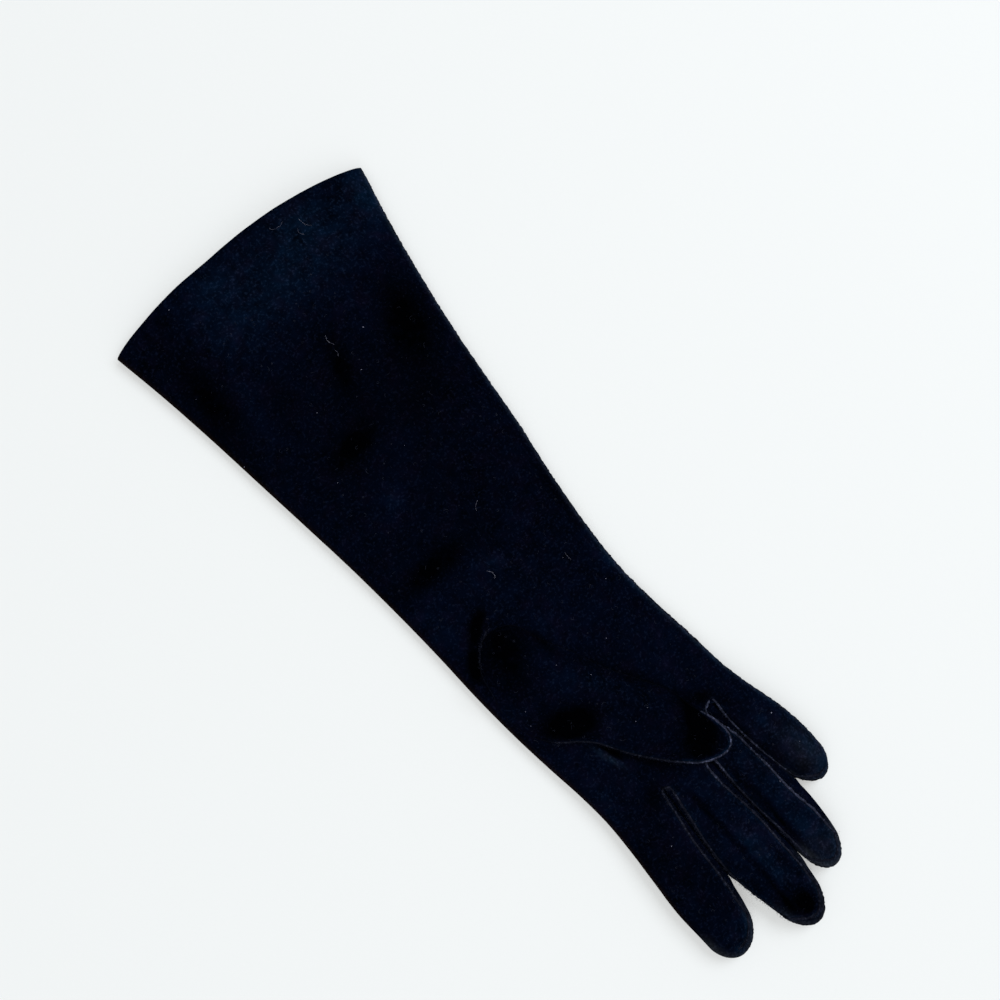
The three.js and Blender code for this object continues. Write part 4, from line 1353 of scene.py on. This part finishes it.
def loose_hair(x, y, turn, length, bend, chance, steps=14, radius=0.042):
    heading, place = math.radians(turn), Vector((x, y, 0))
    found = []
    for _ in range(steps):
        root = rest_on_cloth(place.x, place.y, HAIR_LIFT)
        place += Vector((math.cos(heading), math.sin(heading), 0)) * length / steps
        ahead = rest_on_cloth(place.x, place.y, HAIR_LIFT)
        if root and ahead:
            step = ahead - root
            found.append((root, step.normalized(), step.length * PIECES_OVERLAP, radius))
        heading += bend * 2 / steps + chance.uniform(-HAIR_SHAKE, HAIR_SHAKE)
    return found


chance = random.Random(31)
fibres = []
while len(fibres) < LOOSE_FIBRES:
    root = rest_on_cloth(chance.uniform(*FIBRES_ACROSS), chance.uniform(*FIBRES_ALONG), 0.04)
    if root:
        direction = any_direction(chance, 0.0, 0.25)
        fibres.append((root, direction, chance.uniform(0.3, 1.1), chance.uniform(0.03, 0.07)))
loose_fibres = lay_fibres("loose_fibres", fibres)
curls = []
for _ in range(LOOSE_CURLS):
    x, y = chance.uniform(*CURLS_ACROSS), chance.uniform(*CURLS_ALONG)
    turn, length, bend = chance.uniform(0, 360), chance.uniform(1.2, 2.6), chance.uniform(-4, 4)
    curls += loose_hair(x, y, turn, length, bend, chance, steps=6, radius=0.06)
loose_curls = lay_fibres("loose_curls", curls)

# %% Scatter the lint and the hairs
LINT = [
    (36, 0, 0.35), (-19, 55, 0.8), (-7, 68, 0.35), (51, 34, 0.3), (54, 67, 0.3), (30, 97, 0.2),
    (18, 70, 0.3), (-27, 197, 0.25), (-11, 215, 0.25), (12, 209, 0.25), (4, 221, 0.25), (3, 246, 0.35),
    (-4, 245, 0.2), (33, 215, 0.3), (35, 221, 0.25), (-26, 304, 0.6), (-43, 298, 0.25),
    (-42, 282, 0.5), (24, 293, 0.4), (-10, 302, 0.25), (-19, 179, 0.3), (0, 103, 0.2),
]
HAIRS = [
    (-28, 4, 100, 6.0, 0.8), (-22, 1, 20, 7.0, -0.9), (-25, 7, 60, 4.0, 0.5), (-5, 48, 70, 5.5, 0.7),
    (-4, 55, 100, 3.0, 0.2), (8, 163, 130, 5.0, -0.9), (-8, 139, 10, 4.5, 0.6), (-21, 178, 80, 4.0, 0.4),
]
TUFT_FIBRES = 6

chance = random.Random(5)
fibres = []
for x, y, size in LINT:
    root = rest_on_cloth(x, y, 0.1)
    for _ in range(TUFT_FIBRES):
        direction = any_direction(chance, 0.0, 0.4)
        fibres.append((root - direction * size * 0.4, direction, size * chance.uniform(0.6, 1.3), 0.08))
for hair in HAIRS:
    fibres += loose_hair(*hair, chance)
lint = lay_fibres("lint", fibres)

# %% [markdown]
# The frayed fibres take the colour of the paler seam cloth. The lint is a plain pale grey that differs
# a little from tuft to tuft.

# %% The finish of fibres and lint
def plain_fibre(name, dark, pale):
    finish = Finish(name)
    share = finish.rise(finish.clouds(400.0, 1.0), 0.35, 0.65)
    colour = finish.colour(share, dark, pale)
    finish.feed(finish.shader, {"Base Color": colour, "Roughness": 0.9, "Specular IOR Level": 0.0})
    return finish.material


seam_fibre = plain_fibre("seam_fibre", (0.002, 0.0024, 0.006), (0.026, 0.030, 0.050))
curled_fibre = plain_fibre("curled_fibre", (0.008, 0.009, 0.016), (0.040, 0.045, 0.070))
pale_lint = plain_fibre("pale_lint", (0.10, 0.10, 0.16), (0.42, 0.43, 0.56))
dress(seam_fibre, fork_fuzz, thumb_fuzz, side_fuzz, loose_fibres)
dress(curled_fibre, loose_curls)
dress(pale_lint, lint)

# %% [markdown]
# ## Floor and light
# The glove was laid on a plain white ground by a bright window. The floor is one large pale plane, a
# hair under the glove. A wide soft light comes from the little finger's side, and the pale world fills
# the shadows. In so bright a picture the shadows on the ground are washed out, so the floor also gives
# off a little light of its own.

# %% Lay the floor and set the lights
FLOOR_HALF = 3.0
FLOOR_BELOW = 0.0003

bm = bmesh.new()
bmesh.ops.create_grid(bm, x_segments=1, y_segments=1, size=FLOOR_HALF)
for vert in bm.verts:
    vert.co.z = -FLOOR_BELOW
floor = finish_mesh(bm, "floor", smooth=False)
paper = Finish("pale_floor")
tooth = paper.clouds(400.0, 2.0)
paper.feed(paper.shader, {
    "Base Color": (0.455, 0.475, 0.490, 1),
    "Roughness": 0.9,
    "Normal": paper.node("ShaderNodeBump", {}, {"Height": tooth, "Strength": 0.15, "Distance": 0.0004}),
    "Emission Color": (1.0, 1.0, 0.975, 1),
    "Emission Strength": 0.40,
})
dress(paper.material, floor)


def soft_light(name, place, size, power):
    data = bpy.data.lights.new(name, "AREA")
    data.size = size
    data.energy = power
    data.color = (0.94, 0.98, 1.0)
    light = add_object(name, data)
    light.location = place
    light.rotation_euler = (-Vector(place)).to_track_quat("-Z", "Y").to_euler()


soft_light("window_light", (-1.2, -0.08, 1.5), 1.1, 20.3)
soft_light("fill_light", (0.9, 0.7, 1.5), 1.8, 13.3)
world = bpy.data.worlds.new("pale_room")
world.use_nodes = True
world.node_tree.nodes["Background"].inputs["Color"].default_value = (1.0, 0.985, 0.955, 1)
world.node_tree.nodes["Background"].inputs["Strength"].default_value = 0.5
bpy.context.scene.world = world
print("lights:", len(bpy.data.lights))

# %% [markdown]
# ## Handing the pieces to the frame
# Every piece moves with the one body of the glove, and the parts of the imported model that it takes
# the place of are hidden. The sleeve, hand and fingers are one uncut cloth here, so six parts are
# hidden for the trank.

# %% Tie the pieces to the frame
trimmings = [*seams.values(), fork_fuzz, thumb_fuzz, side_fuzz, loose_fibres, loose_curls, lint]
for piece in [trank, thumb, *fourchettes.values(), *trimmings]:
    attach(piece, "root")
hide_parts("sleeve", "hand", "index_finger", "middle_finger", "ring_finger", "little_finger")
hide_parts("thumb")
for fork_name, piece in fourchettes.items():
    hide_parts("fourchette_" + fork_name)
    "fourchette_" + fork_name + "_cloth"
